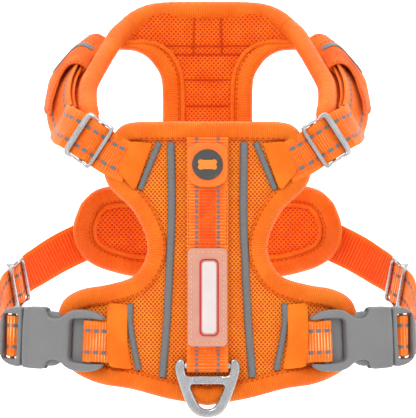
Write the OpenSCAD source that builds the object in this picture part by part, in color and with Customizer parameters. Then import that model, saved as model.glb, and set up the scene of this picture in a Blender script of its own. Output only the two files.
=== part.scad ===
// No-pull dog harness: padded chest panel and back panel, a padded neck yoke, four adjustable
// straps, two side-release buckles, a front and a back leash ring and a back handle.
// X runs across the wearer, Y from the chest to the back, Z up. The origin is the middle of the
// neck opening. All dimensions are in millimetres.

/* [Webbing] */
// Width of every strap
strap_w = 25; // [24:0.5:26]
// Thickness of every strap
strap_t = 1.6; // [1.4:0.1:1.8]

/* [Panels] */
// Radius of the curve that both panels follow round the body
panel_r = 200; // [198:1:202]
// Thickness of the foam in the panels
foam_t = 4.4; // [4:0.1:4.6]
// Thickness of each face fabric of the panels
face_t = 1.2; // [1:0.1:1.3]
// Width of the binding tape on a panel's face
tape_w = 11; // [9:0.5:12]
// Half the distance between the chest panel's face and the back panel's face
half_depth = 66; // [65:0.5:67]

/* [Yoke] */
// Radius of the padded roll round the neck
roll_r = 5.8; // [5:0.1:6]
// Thickness of the yoke's foam
yoke_foam_t = 4.4; // [4:0.1:4.6]

/* [Buckles] */
// Length of a closed buckle
buckle_l = 69; // [69:0.5:70]
// Width of a buckle across its body
buckle_w = 37.6; // [37:0.2:38]
// Thickness of a buckle
buckle_t = 10; // [9.5:0.1:10]
// Angle at which the buckles lie back round the body
buckle_back = 22; // [21:0.5:22]

/* [Leash rings] */
// Width of the front leash ring
ring_w = 40; // [38:0.5:41]
// Thickness of the bars of the rings
ring_t = 4.6; // [4:0.1:4.8]

/* [Hidden] */
$fn = 96;

fabric = [1, 0.45, 0.1];
mesh_fabric = [0.95, 0.4, 0.08];
tape = [1, 0.55, 0.2];
grey = [0.5, 0.5, 0.5];
plastic = [0.58, 0.58, 0.58];
metal = [0.8, 0.8, 0.82];
dark = [0.25, 0.25, 0.25];

// Gap between layers that lie on each other
gap = 0.1;
// Panel layers, as distances from the panel's outer face
cover_in = face_t;
foam_in = face_t + gap + foam_t;
lining_in = foam_in + gap + face_t;
// Thickness of the binding tape, and how far it reaches past the panel's edge
tape_t = 1.1;
tape_edge = 2;

/* ---------- shared functions ---------- */

function unit(v) = v / norm(v);
function lerp(a, b, t) = a + (b - a) * t;
function cubic(a, b, c, d, t) =
    0.5 * (2 * b + (c - a) * t + (2 * a - 5 * b + 4 * c - d) * t * t + (3 * b - a - 3 * c + d) * t * t * t);
// A smooth line through the points p, with n steps between each two
function smooth(p, n = 5) = [
    for (i = [0 : len(p) - 2], j = [0 : n - 1])
        cubic(p[max(i - 1, 0)], p[i], p[i + 1], p[min(i + 2, len(p) - 1)], j / n),
    p[len(p) - 1]
];
function heading(p, i) = unit(p[min(i + 1, len(p) - 1)] - p[max(i - 1, 0)]);
function flip(p) = [for (q = p) [-q[0], q[1]]];
function backwards(p) = [for (i = [len(p) - 1 : -1 : 0]) p[i]];
function part_of(p, from, to) = [for (i = [from : to]) p[i]];
// A flat line moved sideways by d, to its left as it is drawn
function beside(p, d) = [
    for (i = [0 : len(p) - 1]) let (t = heading(p, i)) p[i] + d * [-t[1], t[0]]
];
// The outline of a band along a flat line, between two sideways distances
function band(p, d0, d1) = concat(beside(p, d0), backwards(beside(p, d1)));

// Solid through rings that all have the same even number of points. The second half of a ring
// runs back beside its first half.
module loft(rings) {
    m = len(rings[0]);
    last = (len(rings) - 1) * m;
    polyhedron(
        points = [for (r = rings) each r],
        faces = concat(
            [for (k = [0 : m / 2 - 2]) each
                [[k, k + 1, m - 2 - k], [k, m - 2 - k, m - 1 - k],
                 [last + k, last + m - 2 - k, last + k + 1], [last + k, last + m - 1 - k, last + m - 2 - k]]],
            [for (i = [0 : len(rings) - 2], j = [0 : m - 1])
                each let (a = i * m + j, b = i * m + (j + 1) % m) [[a, a + m, b + m], [a, b + m, b]]]
        ),
        convexity = 8
    );
}
// The same with a second set of rings inside, which leaves a way through
module loft_tube(outer, inner) {
    m = len(outer[0]);
    n = len(outer);
    k = n * m;
    last = (n - 1) * m;
    polyhedron(
        points = concat([for (r = outer) each r], [for (r = inner) each r]),
        faces = [
            for (i = [0 : n - 2], j = [0 : m - 1])
                each let (a = i * m + j, b = i * m + (j + 1) % m)
                    [[a, a + m, b + m], [a, b + m, b],
                     [k + a, k + b + m, k + a + m], [k + a, k + b, k + b + m]],
            for (j = [0 : m - 1])
                each let (b = (j + 1) % m)
                    [[j, b, k + b], [j, k + b, k + j],
                     [last + j, k + last + b, last + b], [last + j, k + last + j, k + last + b]]
        ],
        convexity = 8
    );
}
// Rings of a flat strip along a line, wide in the directions given
function across(path, wide, i) = let (h = heading(path, i)) unit(wide[i] - (wide[i] * h) * h);
function strip(path, wide, w, t) = [
    for (i = [0 : len(path) - 1])
        let (a = across(path, wide, i), n = unit(cross(heading(path, i), a)))
            [path[i] - a * w / 2 - n * t / 2, path[i] + a * w / 2 - n * t / 2,
             path[i] + a * w / 2 + n * t / 2, path[i] - a * w / 2 + n * t / 2]
];
// Rings of an oval tube along a line
function oval(path, wide, rw, rt, sides = 12) = [
    for (i = [0 : len(path) - 1])
        let (a = across(path, wide, i), n = unit(cross(heading(path, i), a)))
            [for (k = [0 : sides - 1])
                path[i] + a * rw[i] * cos(k * 360 / sides) + n * rt[i] * sin(k * 360 / sides)]
];

// Flat shapes
module slot_shape(l, w, r) {
    square([l - 2 * r, w], center = true);
    square([l, w - 2 * r], center = true);
    for (x = [-1, 1], y = [-1, 1])
        translate([x * (l / 2 - r), y * (w / 2 - r)]) circle(r);
}
// Places a part so that its x runs along t and its z faces as nearly along n as it can
module placed(p, t, n) {
    x = unit(t);
    z = unit(n - (n * x) * x);
    y = cross(z, x);
    translate(p) rotate([atan2(y[2], z[2]), asin(-x[2]), atan2(x[1], x[0])]) children();
}
module both_sides() {
    children();
    mirror([1, 0, 0]) children();
}

/* ---------- chest panel ---------- */

chest_axis = panel_r - half_depth + 1;
chest_top = -38;
chest_low = -207.6;
// Half outline of the chest panel, as [distance from the middle, height]
chest_top_line = smooth([[0, chest_top], [26, chest_top], [46, -38.5], [54, -42.5], [58, -50]], 4);
chest_arm_line = smooth([
    [58, -50], [62, -64], [59, -76], [45, -90], [37, -105], [36, -118], [44, -131], [60, -136.5],
    [76, -139.5], [87, -146], [92, -158]
], 4);
chest_low_line = smooth([
    [92, -158], [91, -174], [83, -187], [66, -195], [46, -198], [24, -203.5], [0, chest_low]
], 4);
chest_half = concat(chest_top_line, part_of(chest_arm_line, 1, len(chest_arm_line) - 2),
    chest_low_line);

// A flat shape drawn as [x, z], laid on the chest panel between two distances from its face.
// Distances are positive into the panel and negative proud of it.
module on_chest(from, to) {
    intersection() {
        rotate([90, 0, 0]) linear_extrude(height = 120) children();
        translate([0, chest_axis, -230]) difference() {
            cylinder(h = 220, r = panel_r - from, $fn = 200);
            translate([0, 0, -1]) cylinder(h = 222, r = panel_r - to, $fn = 200);
        }
    }
}
module chest_outline(inset) {
    half = beside(chest_half, -inset);
    polygon(concat([for (q = half) [max(q[0], 0), q[1]]],
        [for (q = backwards(half)) [-max(q[0], 0), q[1]]]));
}
// Tape folded over an edge of a panel. The line is the tape's outer edge as [x, z], and bend is
// the panel's radius, with the panel's axis at y and facing towards -Y (side -1) or +Y (side 1).
function panel_point(q, d, bend, axis, side) =
    [q[0], axis + side * sqrt((bend - d) * (bend - d) - q[0] * q[0]), q[1]];
tape_steps = [0, -3, -6.5, -tape_w];
tape_inner_steps = [0.1 - tape_edge, -3, -6.5, -tape_w];
function tape_ring(q, t, bend, axis, side) =
    let (s = [-t[1], t[0]], o = tape_steps, n = tape_inner_steps, a = -tape_t - gap, b = lining_in + gap)
    concat(
        [for (k = [3 : -1 : 0]) panel_point(q + o[k] * s, a, bend, axis, side)],
        [for (k = [0 : 3]) panel_point(q + o[k] * s, b + tape_t, bend, axis, side)],
        [for (k = [3 : -1 : 0]) panel_point(q + n[k] * s, b, bend, axis, side)],
        [for (k = [0 : 3]) panel_point(q + n[k] * s, -gap, bend, axis, side)]
    );
module tape_along(line, bend, axis, side) {
    rings = [for (i = [0 : len(line) - 1]) tape_ring(line[i], heading(line, i), bend, axis, side)];
    loft(side < 0 ? rings : backwards(rings));
}
module chest_tape(line) {
    tape_along(line, panel_r, chest_axis, -1);
}
module chest_cover() {
    color(mesh_fabric) on_chest(0, cover_in) chest_outline(tape_edge);
}
module chest_padding() {
    color("white") on_chest(cover_in + gap, foam_in) chest_outline(tape_edge);
}
module chest_lining() {
    color(mesh_fabric) on_chest(foam_in + gap, lining_in) chest_outline(tape_edge);
}
module chest_top_binding() {
    half = part_of(chest_top_line, 0, 9);
    line = concat(backwards(flip(part_of(half, 1, 9))), half);
    color(tape) chest_tape(line);
}
// The side tapes start clear of the top tape, and stop clear of the low one
module chest_side_binding() {
    line = part_of(chest_arm_line, 6, len(chest_arm_line) - 3);
    color(tape) chest_tape(line);
}
module chest_bottom_binding() {
    half = part_of(chest_low_line, 1, len(chest_low_line) - 1);
    line = concat(half, backwards(flip(part_of(half, 0, len(half) - 2))));
    color(tape) chest_tape(line);
}

// Reflective strips. Each is a line down the panel and a width.
piping_t = 1.5;
inner_piping = smooth([[22, -52], [21.5, -90], [23, -130], [24.5, -160], [27, -189]], 4);
upper_piping = [[29.5, -52], [39.4, -76.4]];
lower_piping = smooth([[46.4, -148.5], [46.2, -162], [42, -184]], 4);
module piping(line, w) {
    color(grey) both_sides() on_chest(-piping_t - gap, -gap) polygon(band(line, -w / 2, w / 2));
}
module chest_inner_piping() { piping(inner_piping, 4.6); }
module chest_upper_piping() { piping(upper_piping, 3.8); }
module chest_lower_piping() { piping(lower_piping, 3.8); }

// Patches sewn over the ends of the straps
patch_in = -strap_t - 2.1;
patch_t = 0.9;
module chest_upper_patches() {
    color(fabric) both_sides() on_chest(patch_in - patch_t, patch_in)
        polygon([[33, -53], [44.6, -51.4], [52.4, -68], [43.4, -76.2]]);
}
// The lower ones follow their straps as these rise to the buckles
module chest_lower_patches() {
    path = [for (p = [0 : 3]) female_path[p] + [0, 0, 1.9]];
    color(fabric) both_sides() at_buckle()
        loft(strip(path, [for (p = path) [0.06, 1, 0]], 31, patch_t));
}

/* ---------- middle strap, patch and flap on the chest ---------- */

chest_face = chest_axis - panel_r;
// The front leash ring hangs in a fold of the middle strap, round a bar
bar_r = 2.1;
fold_r = bar_r + 0.35 + strap_t / 2;
tail_y = chest_face - 0.5 - strap_t / 2;
strap_y = tail_y - strap_t - 0.1;
front_bar = [0, tail_y - fold_r, -184];
fold_turn = [for (a = [0 : 22.5 : 180]) front_bar + fold_r * [0, -cos(a), -sin(a)]];
module chest_webbing() {
    path = concat(
        [[0, strap_y, -54], [0, strap_y, -90], [0, strap_y, -130], [0, strap_y, -173.4],
            [0, strap_y - 1.9, -177.4], [0, front_bar[1] - fold_r, -182.4]],
        fold_turn, [[0, tail_y, -182], [0, tail_y, -160]]);
    color(fabric) loft(strip(path, [for (p = path) [-1, 0, 0]], strap_w, strap_t));
}

patch_face = strap_y - strap_t / 2;
module name_patch() {
    color([0.9, 0.75, 0.72]) translate([0, patch_face - 0.15, -143]) rotate([90, 0, 0])
        linear_extrude(height = 1.8) slot_shape(23.6, 59, 3);
}
module name_plate() {
    color("white") translate([0, patch_face - 2, -143]) rotate([90, 0, 0])
        linear_extrude(height = 0.5) slot_shape(9, 44, 3);
}

flap_hinge = [0, patch_face - 2.05, -51.8];
module id_flap() {
    color(fabric) {
        translate([0, flap_hinge[1] + 1, 0]) rotate([90, 0, 0]) linear_extrude(height = 2)
            polygon([[-12.2, -51.8], [12.2, -51.8], [12.2, -72], [8, -76], [-8, -76], [-12.2, -72]]);
        translate([-12.2, flap_hinge[1], flap_hinge[2]]) rotate([0, 90, 0])
            cylinder(h = 24.4, r = 1.7);
    }
}
module id_disc() {
    color(dark) translate([0, flap_hinge[1] - 1.1, -63.4]) rotate([90, 0, 0]) {
        cylinder(h = 1, r = 9.2);
        translate([0, 0, 0.9]) difference() {
            cylinder(h = 0.6, r = 9.2);
            translate([0, 0, -0.1]) cylinder(h = 0.8, r = 8.2);
        }
    }
}
module id_icon() {
    color(fabric) translate([0, flap_hinge[1] - 2.2, -63.4]) rotate([90, 0, 0]) linear_extrude(height = 0.6) {
        square([7, 2.6], center = true);
        for (x = [-1, 1], y = [-1, 1]) translate([x * 3.9, y * 1.35]) circle(1.75, $fn = 40);
    }
}
// Front leash ring: a round bar in the strap's fold, a flat cross bar, and a loop below. It is drawn
// as [x, height over the bar].
module ring_side() {
    polygon([
        [13.2, -5], [13.2, 1.4], [13.8, 3.4], [15.4, 4.5], [17.4, 4], [19, 2], [19.6, -0.6], [19.2, -4],
        [17.6, -10], [14.8, -17.4], [12.4, -23], [10.2, -26.6], [7.4, -29.2], [4, -30.5], [0, -30.8],
        [0, -26], [2.4, -25.6], [4.6, -24], [6.4, -21], [8.6, -16.4], [10.4, -11.8], [10, -11], [0, -11],
        [0, -5.9], [13.2, -5.9]
    ]);
}
module front_ring() {
    color(metal) {
        translate([0, front_bar[1] + ring_t / 2, front_bar[2]]) rotate([90, 0, 0])
            linear_extrude(height = ring_t) both_sides() ring_side();
        translate([-15, front_bar[1], front_bar[2]]) rotate([0, 90, 0]) cylinder(h = 30, r = bar_r);
    }
}

/* ---------- padded yoke ---------- */

// The roll round the neck, drawn for the side at +X from the back of the neck to its end in front
roll_side = [
    [52, 48.5, 27.2], [58, 40, 21], [61.8, 31.3, 14], [66, 20, 6], [69.4, 8.7, -2.4], [72.6, -7.2, -13.9],
    [72.2, -22.2, -24.8], [70.4, -31.5, -32], [69.4, -36, -36]
];
roll_back = [
    [0, 61.5, 38.8], [20, 61, 38.6], [30, 59.6, 38], [38.5, 57, 36.3], [46, 52.8, 32.4], [52, 48.5, 27.2]
];
// The way the yoke's width runs, and its width, at each point of the side
yoke_w_raw = [
    [0.45, 0.42, -0.8], [0.55, 0.42, -0.74], [0.62, 0.45, -0.66], [0.66, 0.46, -0.62],
    [0.66, 0.46, -0.62], [0.62, 0.45, -0.66], [0.54, 0.42, -0.74], [0.46, 0.4, -0.8], [0.44, 0.4, -0.82]
];
yoke_l_raw = [[20, 0, 0], [25, 0, 0], [31, 0, 0], [36, 0, 0], [38, 0, 0], [36, 0, 0], [32, 0, 0], [26, 0, 0],
    [21, 0, 0]];
roll_pts = smooth(roll_side, 3);
yoke_w = smooth(yoke_w_raw, 3);
yoke_l = smooth(yoke_l_raw, 3);
yoke_n = len(roll_pts) - 1;
yoke_gap = 0.4;
half_yoke = yoke_foam_t / 2 + yoke_gap + face_t;
roll_gap = roll_r + 0.5;
// A point of the yoke: l along its width from the middle of the roll, d out from its mid surface
function yoke_point(i, l, d) =
    let (h = heading(roll_pts, i), w = across(roll_pts, yoke_w, i))
    roll_pts[i] + l * w + d * cross(h, w);
function yoke_layer(i0, i1, d0, d1, in = 0) = [
    for (i = [i0 : i1]) let (l0 = roll_gap, l1 = yoke_l[i][0] - in)
        [yoke_point(i, l0, d0), yoke_point(i, l1, d0), yoke_point(i, l1, d1), yoke_point(i, l0, d1)]
];
yoke_from = 3;
yoke_to = yoke_n - 1;
edge_t = 2.6;
module yoke_cover() {
    color(fabric) both_sides()
        loft(yoke_layer(yoke_from, yoke_to, half_yoke - face_t, half_yoke, edge_t + gap));
}
module yoke_padding() {
    color("white") both_sides()
        loft(yoke_layer(yoke_from, yoke_to, -yoke_foam_t / 2, yoke_foam_t / 2, edge_t + gap));
}
module yoke_lining() {
    color(mesh_fabric) both_sides()
        loft(yoke_layer(yoke_from, yoke_to, -half_yoke, face_t - half_yoke, edge_t + gap));
}
module yoke_edge_binding() {
    color(tape) both_sides() loft([
        for (i = [yoke_from : yoke_to]) [for (a = [0 : 30 : 330])
            yoke_point(i, yoke_l[i][0] - edge_t / 2 + edge_t / 2 * cos(a), (half_yoke + 0.8) * sin(a))]
    ]);
}
module collar_roll() {
    back = smooth(roll_back, 4);
    side = part_of(roll_pts, 1, yoke_n);
    half = concat(back, side);
    path = concat(backwards([for (p = half) [-p[0], p[1], p[2]]]), part_of(half, 1, len(half) - 1));
    n = len(path) - 1;
    r = [for (i = [0 : n]) roll_r * min(1, 0.75 + 0.25 * min(i, n - i))];
    color(tape) loft(oval(path, [for (p = path) [0, 0.6, -0.8]], r, r, 20));
}

// Sleeves on the yoke, which the shoulder straps run into
sleeve_from = 3;
sleeve_to = 12;
function sleeve_ring(i, wall) =
    let (l0 = roll_gap + 0.6 + wall, l1 = yoke_l[i][0] - 0.8 - wall, m = (l0 + l1) / 2, r = (l1 - l0) / 2,
        low = half_yoke + 0.95 + wall,
        high = 12.4 * (0.72 + 0.28 * sin(180 * (i - sleeve_from + 1) / (sleeve_to - sleeve_from + 2))) - 2 * wall)
    [for (a = [0 : 20 : 180]) yoke_point(i, m + r * sign(cos(a)) * sqrt(abs(cos(a))), low + high * sqrt(sin(a)))];
module sleeve() {
    loft_tube([for (i = [sleeve_from : sleeve_to]) sleeve_ring(i, 0)],
        [for (i = [sleeve_from : sleeve_to]) sleeve_ring(i, 1.1)]);
}
module right_sleeve() { color(fabric) sleeve(); }
module left_sleeve() { mirror([1, 0, 0]) right_sleeve(); }
module sleeve_bands() {
    color(grey) both_sides() loft([
        for (i = [7 : 8]) let (q = sleeve_ring(i, -0.15), p = sleeve_ring(i, -1.05))
            concat([for (k = [1 : 8]) p[k]], [for (k = [8 : -1 : 1]) q[k]])
    ]);
}

/* ---------- straps ---------- */

// Straps are drawn for the side at +X. Each has points and the way its width runs.
slide_t = unit([0.802, 0.301, 0.516]);
slide_w = unit([0.54, 0, -0.8415]);
slide_n = cross(slide_w, slide_t);
slide_c = [70.6, -55, -49.2];
shoulder_low = [[39, -62.8, -66.6], [45, -62, -63.6], [51, -61, -60.8], slide_c - 16 * slide_t];
shoulder_low_w = [[0.45, 0.09, -0.86], [0.48, 0.11, -0.86], [0.5, 0.11, -0.85], slide_w];
sleeve_in = [[18, 19, 9.6], [16, 20, 10.2], [14, 21, 10.6], [12, 22, 10.4], [10, 21.4, 10.4], [9, 21.05, 10.4]];
shoulder_high = concat(
    [slide_c + 16 * slide_t, [88.2, -42, -38.8], [90.4, -31, -36.6]],
    [for (q = sleeve_in) yoke_point(q[0], q[1], q[2])]);
shoulder_high_w = concat([slide_w, [0.44, 0.14, -0.86], [0.42, 0.3, -0.84]],
    [for (q = sleeve_in) across(roll_pts, yoke_w, q[0])]);
module shoulder_webbing() {
    path = concat(smooth(shoulder_low, 3), smooth(shoulder_high, 3));
    wide = concat(smooth(shoulder_low_w, 3), smooth(shoulder_high_w, 3));
    loft(strip(path, wide, strap_w, strap_t));
    // the part that comes back from the sleeve, behind the first
    behind = [for (i = [0 : len(shoulder_high) - 1])
        shoulder_high[i] + (i == 0 ? 0.8 : 0) * slide_t
            - 3.2 * unit(cross(across(shoulder_high, shoulder_high_w, i), heading(shoulder_high, i)))];
    loft(strip(smooth(behind, 3), smooth(shoulder_high_w, 3), strap_w, strap_t));
}
module right_shoulder_webbing() { color(fabric) shoulder_webbing(); }
module left_shoulder_webbing() { mirror([1, 0, 0]) right_shoulder_webbing(); }

// A three-bar slide: the strap lies behind the outer bars and in front of the middle one
slide_len = 20.5;
slide_wid = 29.5;
module three_bar_slide() {
    translate([0, 0, strap_t / 2 + 0.3]) linear_extrude(height = 2.6) difference() {
        slot_shape(slide_len, slide_wid, 3.4);
        slot_shape(slide_len - 6, slide_wid - 3.4, 1.6);
    }
    for (y = [-1, 1]) translate([-3.4, y * (slide_wid / 2 - 0.8) - 0.7, -strap_t / 2 - 2.2])
        cube([6.8, 1.4, 4.2]);
    translate([0, slide_wid / 2 - 0.2, -strap_t / 2 - 1.7]) rotate([90, 0, 0])
        cylinder(h = slide_wid - 0.4, r = 1.4);
}
module right_shoulder_slide() { color(metal) placed(slide_c, slide_t, slide_n) three_bar_slide(); }
module left_shoulder_slide() { mirror([1, 0, 0]) right_shoulder_slide(); }

/* ---------- buckles ---------- */

buckle_c = [94.2, -50.3, -168.6];
buckle_up = 2.5;
half_l = buckle_l / 2;
half_w = buckle_w / 2;
module at_buckle() {
    translate(buckle_c) rotate([90, -buckle_up, buckle_back]) children();
}
function turn_x(p, a) = [p[0], p[1] * cos(a) - p[2] * sin(a), p[1] * sin(a) + p[2] * cos(a)];
function turn_y(p, a) = [p[0] * cos(a) + p[2] * sin(a), p[1], -p[0] * sin(a) + p[2] * cos(a)];
function turn_z(p, a) = [p[0] * cos(a) - p[1] * sin(a), p[0] * sin(a) + p[1] * cos(a), p[2]];
function from_buckle(p) = buckle_c + turn_z(turn_y(turn_x(p, 90), -buckle_up), buckle_back);
// Where the two halves meet, and the bars for the straps, along the buckle from its middle
mouth_x = 18.5;
female_bar = [-24.4, 0, -0.8];
male_bar = [27, 0, -1.2];
loop_r = 2 + 0.35 + strap_t / 2;
male_loop_r = 1.5 + 0.35 + strap_t / 2;
pocket_w = 25.2;
pocket_t = 5.2;
module slab(t, c) {
    translate([0, 0, -t / 2]) linear_extrude(height = t) offset_shape(c) children();
    translate([0, 0, -t / 2 + c]) linear_extrude(height = t - 2 * c) children();
}
module offset_shape(c) { offset(delta = -c) children(); }
module female_outline() {
    polygon([
        [mouth_x, -half_w + 1.6], [mouth_x - 1.6, -half_w], [4, -half_w], [0, -half_w + 0.4], [-6, -half_w + 2.6],
        [-12, -half_w + 1.6], [-18, -half_w], [-26, -half_w + 0.2], [-31, -half_w + 1.6], [-half_l, -half_w + 4.6],
        [-half_l, -half_w + 5.3], [-30, -half_w + 5.1], [-30, half_w - 5.1], [-half_l, half_w - 5.3],
        [-half_l, half_w - 4.6], [-31, half_w - 1.6], [-26, half_w - 0.2], [-18, half_w], [-12, half_w - 1.6],
        [-6, half_w - 2.6], [0, half_w - 0.4], [4, half_w], [mouth_x - 1.6, half_w], [mouth_x, half_w - 1.6]
    ]);
}
module buckle_female() {
    difference() {
        union() {
            intersection() {
                slab(buckle_t, 0.9) female_outline();
                translate([-9, -30, -10]) cube([40, 60, 20]);
            }
            intersection() {
                slab(7, 0.8) female_outline();
                translate([-40, -30, -10]) cube([32, 60, 20]);
            }
        }
        // opening for the strap
        translate([-40, -half_w + 5.2, -8]) cube([27.6, buckle_w - 10.4, 16]);
        // the pocket that the other half slides into
        translate([-8, -pocket_w / 2, -pocket_t / 2]) cube([mouth_x + 10, pocket_w, pocket_t]);
        // side windows that the prongs spring out of
        for (y = [-1, 1]) translate([-8, y * 18.6 - 8, -pocket_t / 2 - 0.5])
            cube([12.5, 16, pocket_t + 1]);
    }
    translate([female_bar[0], half_w - 4, female_bar[2]]) rotate([90, 0, 0])
        cylinder(h = buckle_w - 8, r = 2);
}
module male_outline() {
    polygon([
        [mouth_x + 0.4, -half_w + 1.8], [mouth_x + 2, -half_w + 0.5], [28, -half_w + 1.2], [32, -half_w + 3.2],
        [half_l - 0.5, -half_w + 7], [half_l, -8], [half_l, 8], [half_l - 0.5, half_w - 7],
        [32, half_w - 3.2], [28, half_w - 1.2], [mouth_x + 2, half_w - 0.5], [mouth_x + 0.4, half_w - 1.8]
    ]);
}
// Base of the other half: a frame for the strap, and the tongue and roots of the prongs
module buckle_male() {
    difference() {
        slab(8.4, 0.9) male_outline();
        translate([22.2, -13.7, -8]) cube([9.8, 27.4, 16]);
    }
    translate([male_bar[0], 14.4, male_bar[2]]) rotate([90, 0, 0]) cylinder(h = 28.8, r = 1.5);
    translate([-3, -3.2, -2]) cube([mouth_x + 4, 6.4, 4]);
    for (y = [-1, 1]) difference() {
        translate([10, y * prong_root[1] - 3, -2]) cube([mouth_x - 9, 6, 4]);
        translate([prong_root[0], y * prong_root[1], -3]) cylinder(h = 6, r = 2.1);
    }
}
// One springy prong. It turns about its end nearest the mouth.
prong_root = [9.4, 8.6];
module buckle_prong() {
    translate([prong_root[0], prong_root[1], -2]) cylinder(h = 4, r = 1.8);
    translate([0, 0, -2]) linear_extrude(height = 4) polygon([
        [prong_root[0] - 0.4, 7], [prong_root[0], 10.3], [4.6, 11.2], [3.9, 15.4], [0, 16.6], [-3, 16.2],
        [-6.4, 13.4], [-6.9, 10.6], [-5.4, 9.4], [-1, 9.2]
    ]);
}
module right_buckle_female() { color(plastic) at_buckle() buckle_female(); }
module left_buckle_female() { mirror([1, 0, 0]) right_buckle_female(); }
module right_buckle_male() { color(plastic) at_buckle() buckle_male(); }
module left_buckle_male() { mirror([1, 0, 0]) right_buckle_male(); }
module right_upper_prong() { color(plastic) at_buckle() buckle_prong(); }
module right_lower_prong() { color(plastic) at_buckle() mirror([0, 1, 0]) buckle_prong(); }
module left_upper_prong() { mirror([1, 0, 0]) right_upper_prong(); }
module left_lower_prong() { mirror([1, 0, 0]) right_lower_prong(); }

// Short strap from the chest round the fixed half's bar, drawn in the buckle's own directions
female_path = concat(
    [[-45.6, 0, -7.3], [-42.4, 0, -6.2], [-39, 0, -4.6], [-36, 0, -3], [-30, 0, 0.6]],
    [for (a = [110 : -20 : -90]) female_bar + loop_r * [cos(a), 0, sin(a)]],
    [[-28, 0, -4.4], [-33, 0, -5.6]]
);
module female_webbing() {
    at_buckle() loft(strip(female_path, [for (p = female_path) [0, 1, 0]], strap_w, strap_t));
}
module right_female_webbing() { color(fabric) female_webbing(); }
module left_female_webbing() { mirror([1, 0, 0]) right_female_webbing(); }

// Girth strap: from the back panel through its slide, round the sliding half's bar and back
girth_t = unit([0.35, -0.86, -0.37]);
girth_w = unit([-0.13, 0.33, -0.935]);
girth_n = cross(girth_t, girth_w);
girth_c = [120.4, 8, -137];
girth_back = [[40, 60.3, -96.5], [56, 52.8, -101], [70, 43.3, -106.5], [82, 34.5, -112], [95, 30.5, -118.5],
    [107, 26, -126], girth_c - 15 * girth_t, girth_c];
girth_back_w = [[-0.22, 0.1, -0.95], [-0.22, 0.1, -0.95], [-0.25, 0.15, -0.94], [-0.28, 0.2, -0.93],
    [-0.24, 0.25, -0.94], [-0.16, 0.3, -0.94], girth_w, girth_w];
bar_way = from_buckle([0, -1, 0]) - buckle_c;
girth_front = concat([girth_c + girth_t, girth_c + 15 * girth_t, [127.6, -14, -148.5], [128.4, -23.5, -158.5]],
    [for (p = [[38.4, 0, -7.4], [34.4, 0, -6.5], [31.2, 0, -5.9]]) from_buckle(p)]);
girth_front_w = [girth_w, girth_w, [-0.1, 0.5, -0.86], [-0.06, 0.45, -0.9], [-0.02, 0.08, -1], bar_way, bar_way];
male_turn = [for (a = [-60 : 30 : 210]) from_buckle(male_bar + male_loop_r * [cos(a), 0, sin(a)])];
tail = [for (p = [[25.8, 0, -6.8], [28.4, 0, -8], [34, 0, -8.6], [37.4, 0, -9.4]]) from_buckle(p)];
module girth_webbing() {
    path = concat(smooth(girth_back, 3), smooth(girth_front, 3), male_turn, tail);
    wide = concat(smooth(girth_back_w, 3), smooth(girth_front_w, 3),
        [for (p = male_turn) bar_way], [for (p = tail) bar_way]);
    loft(strip(path, wide, strap_w, strap_t));
}
module right_girth_strap() { color(fabric) girth_webbing(); }
module left_girth_strap() { mirror([1, 0, 0]) right_girth_strap(); }
module right_girth_slide() { color(metal) placed(girth_c, girth_t, -girth_n) three_bar_slide(); }
module left_girth_slide() { mirror([1, 0, 0]) right_girth_slide(); }

/* ---------- back panel ---------- */

back_r = 110;
back_axis = half_depth - 1 - back_r;
back_top_line = smooth([[0, 32.2], [20, 32], [31, 31], [38, 28.6], [44.5, 24], [50, 18], [53, 12.6]], 3);
back_arm_line = smooth([
    [53, 12.6], [46, 12.6], [38.4, 8.6], [32.9, 2.5], [29.3, -5], [28.4, -16], [28.4, -36], [28.8, -54],
    [33.5, -67], [45, -74.5], [60, -75.5], [72, -79], [80, -87]
], 4);
back_low_line = smooth([
    [80, -87], [84.3, -100], [83.4, -112], [78, -120.8], [70, -126.4], [60, -130], [47, -133], [25, -134], [0, -134]
], 4);
back_half = concat(back_top_line, back_arm_line, back_low_line);
module on_back(from, to) {
    intersection() {
        translate([0, 120, 0]) rotate([90, 0, 0]) linear_extrude(height = 120) children();
        translate([0, back_axis, -150]) difference() {
            cylinder(h = 200, r = back_r - from, $fn = 160);
            translate([0, 0, -1]) cylinder(h = 202, r = back_r - to, $fn = 160);
        }
    }
}
module back_outline(inset) {
    arm = beside(back_arm_line, -inset);
    half = concat(part_of(back_top_line, 0, len(back_top_line) - 2), part_of(arm, 3, len(arm) - 2),
        beside(back_low_line, -inset));
    polygon(concat([for (q = half) [max(q[0], 0), q[1]]],
        [for (q = backwards(half)) [-max(q[0], 0), q[1]]]));
}
module back_tape(line) {
    tape_along(line, back_r, back_axis, 1);
}
module back_cover() { color(fabric) on_back(0, cover_in) back_outline(tape_edge); }
module back_padding() { color("white") on_back(cover_in + gap, foam_in) back_outline(tape_edge); }
module back_lining() { color(mesh_fabric) on_back(foam_in + gap, lining_in) back_outline(tape_edge); }
module back_side_binding() {
    back_tape(part_of(back_arm_line, 4, len(back_arm_line) - 3));
}
module back_right_binding() { color(tape) back_side_binding(); }
module back_left_binding() { mirror([1, 0, 0]) back_right_binding(); }
module chest_right_binding() { chest_side_binding(); }
module chest_left_binding() { mirror([1, 0, 0]) chest_side_binding(); }
module back_bottom_binding() {
    half = part_of(back_low_line, 2, len(back_low_line) - 1);
    color(tape) back_tape(concat(half, backwards(flip(part_of(half, 0, len(half) - 2)))));
}
module back_piping() {
    line = smooth([[15, 24], [15, 0], [15, -40], [18, -80], [24, -118]], 3);
    color(grey) both_sides() on_back(-1 - gap, -gap) polygon(band(line, -1.7, 1.7));
}
// Low pads where the back panel's upper corners are sewn to the yoke
module upper_sleeves() {
    color(fabric) both_sides() loft(oval(
        [[40, 60.4, 22], [44, 59.6, 21.4], [49, 57.8, 20.4], [54, 54, 17.6]],
        [for (i = [0 : 3]) [0.2, 0.3, -0.9]], [2.6, 4.4, 4.4, 2.6], [0.9, 1.5, 1.5, 0.9]));
}
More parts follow.
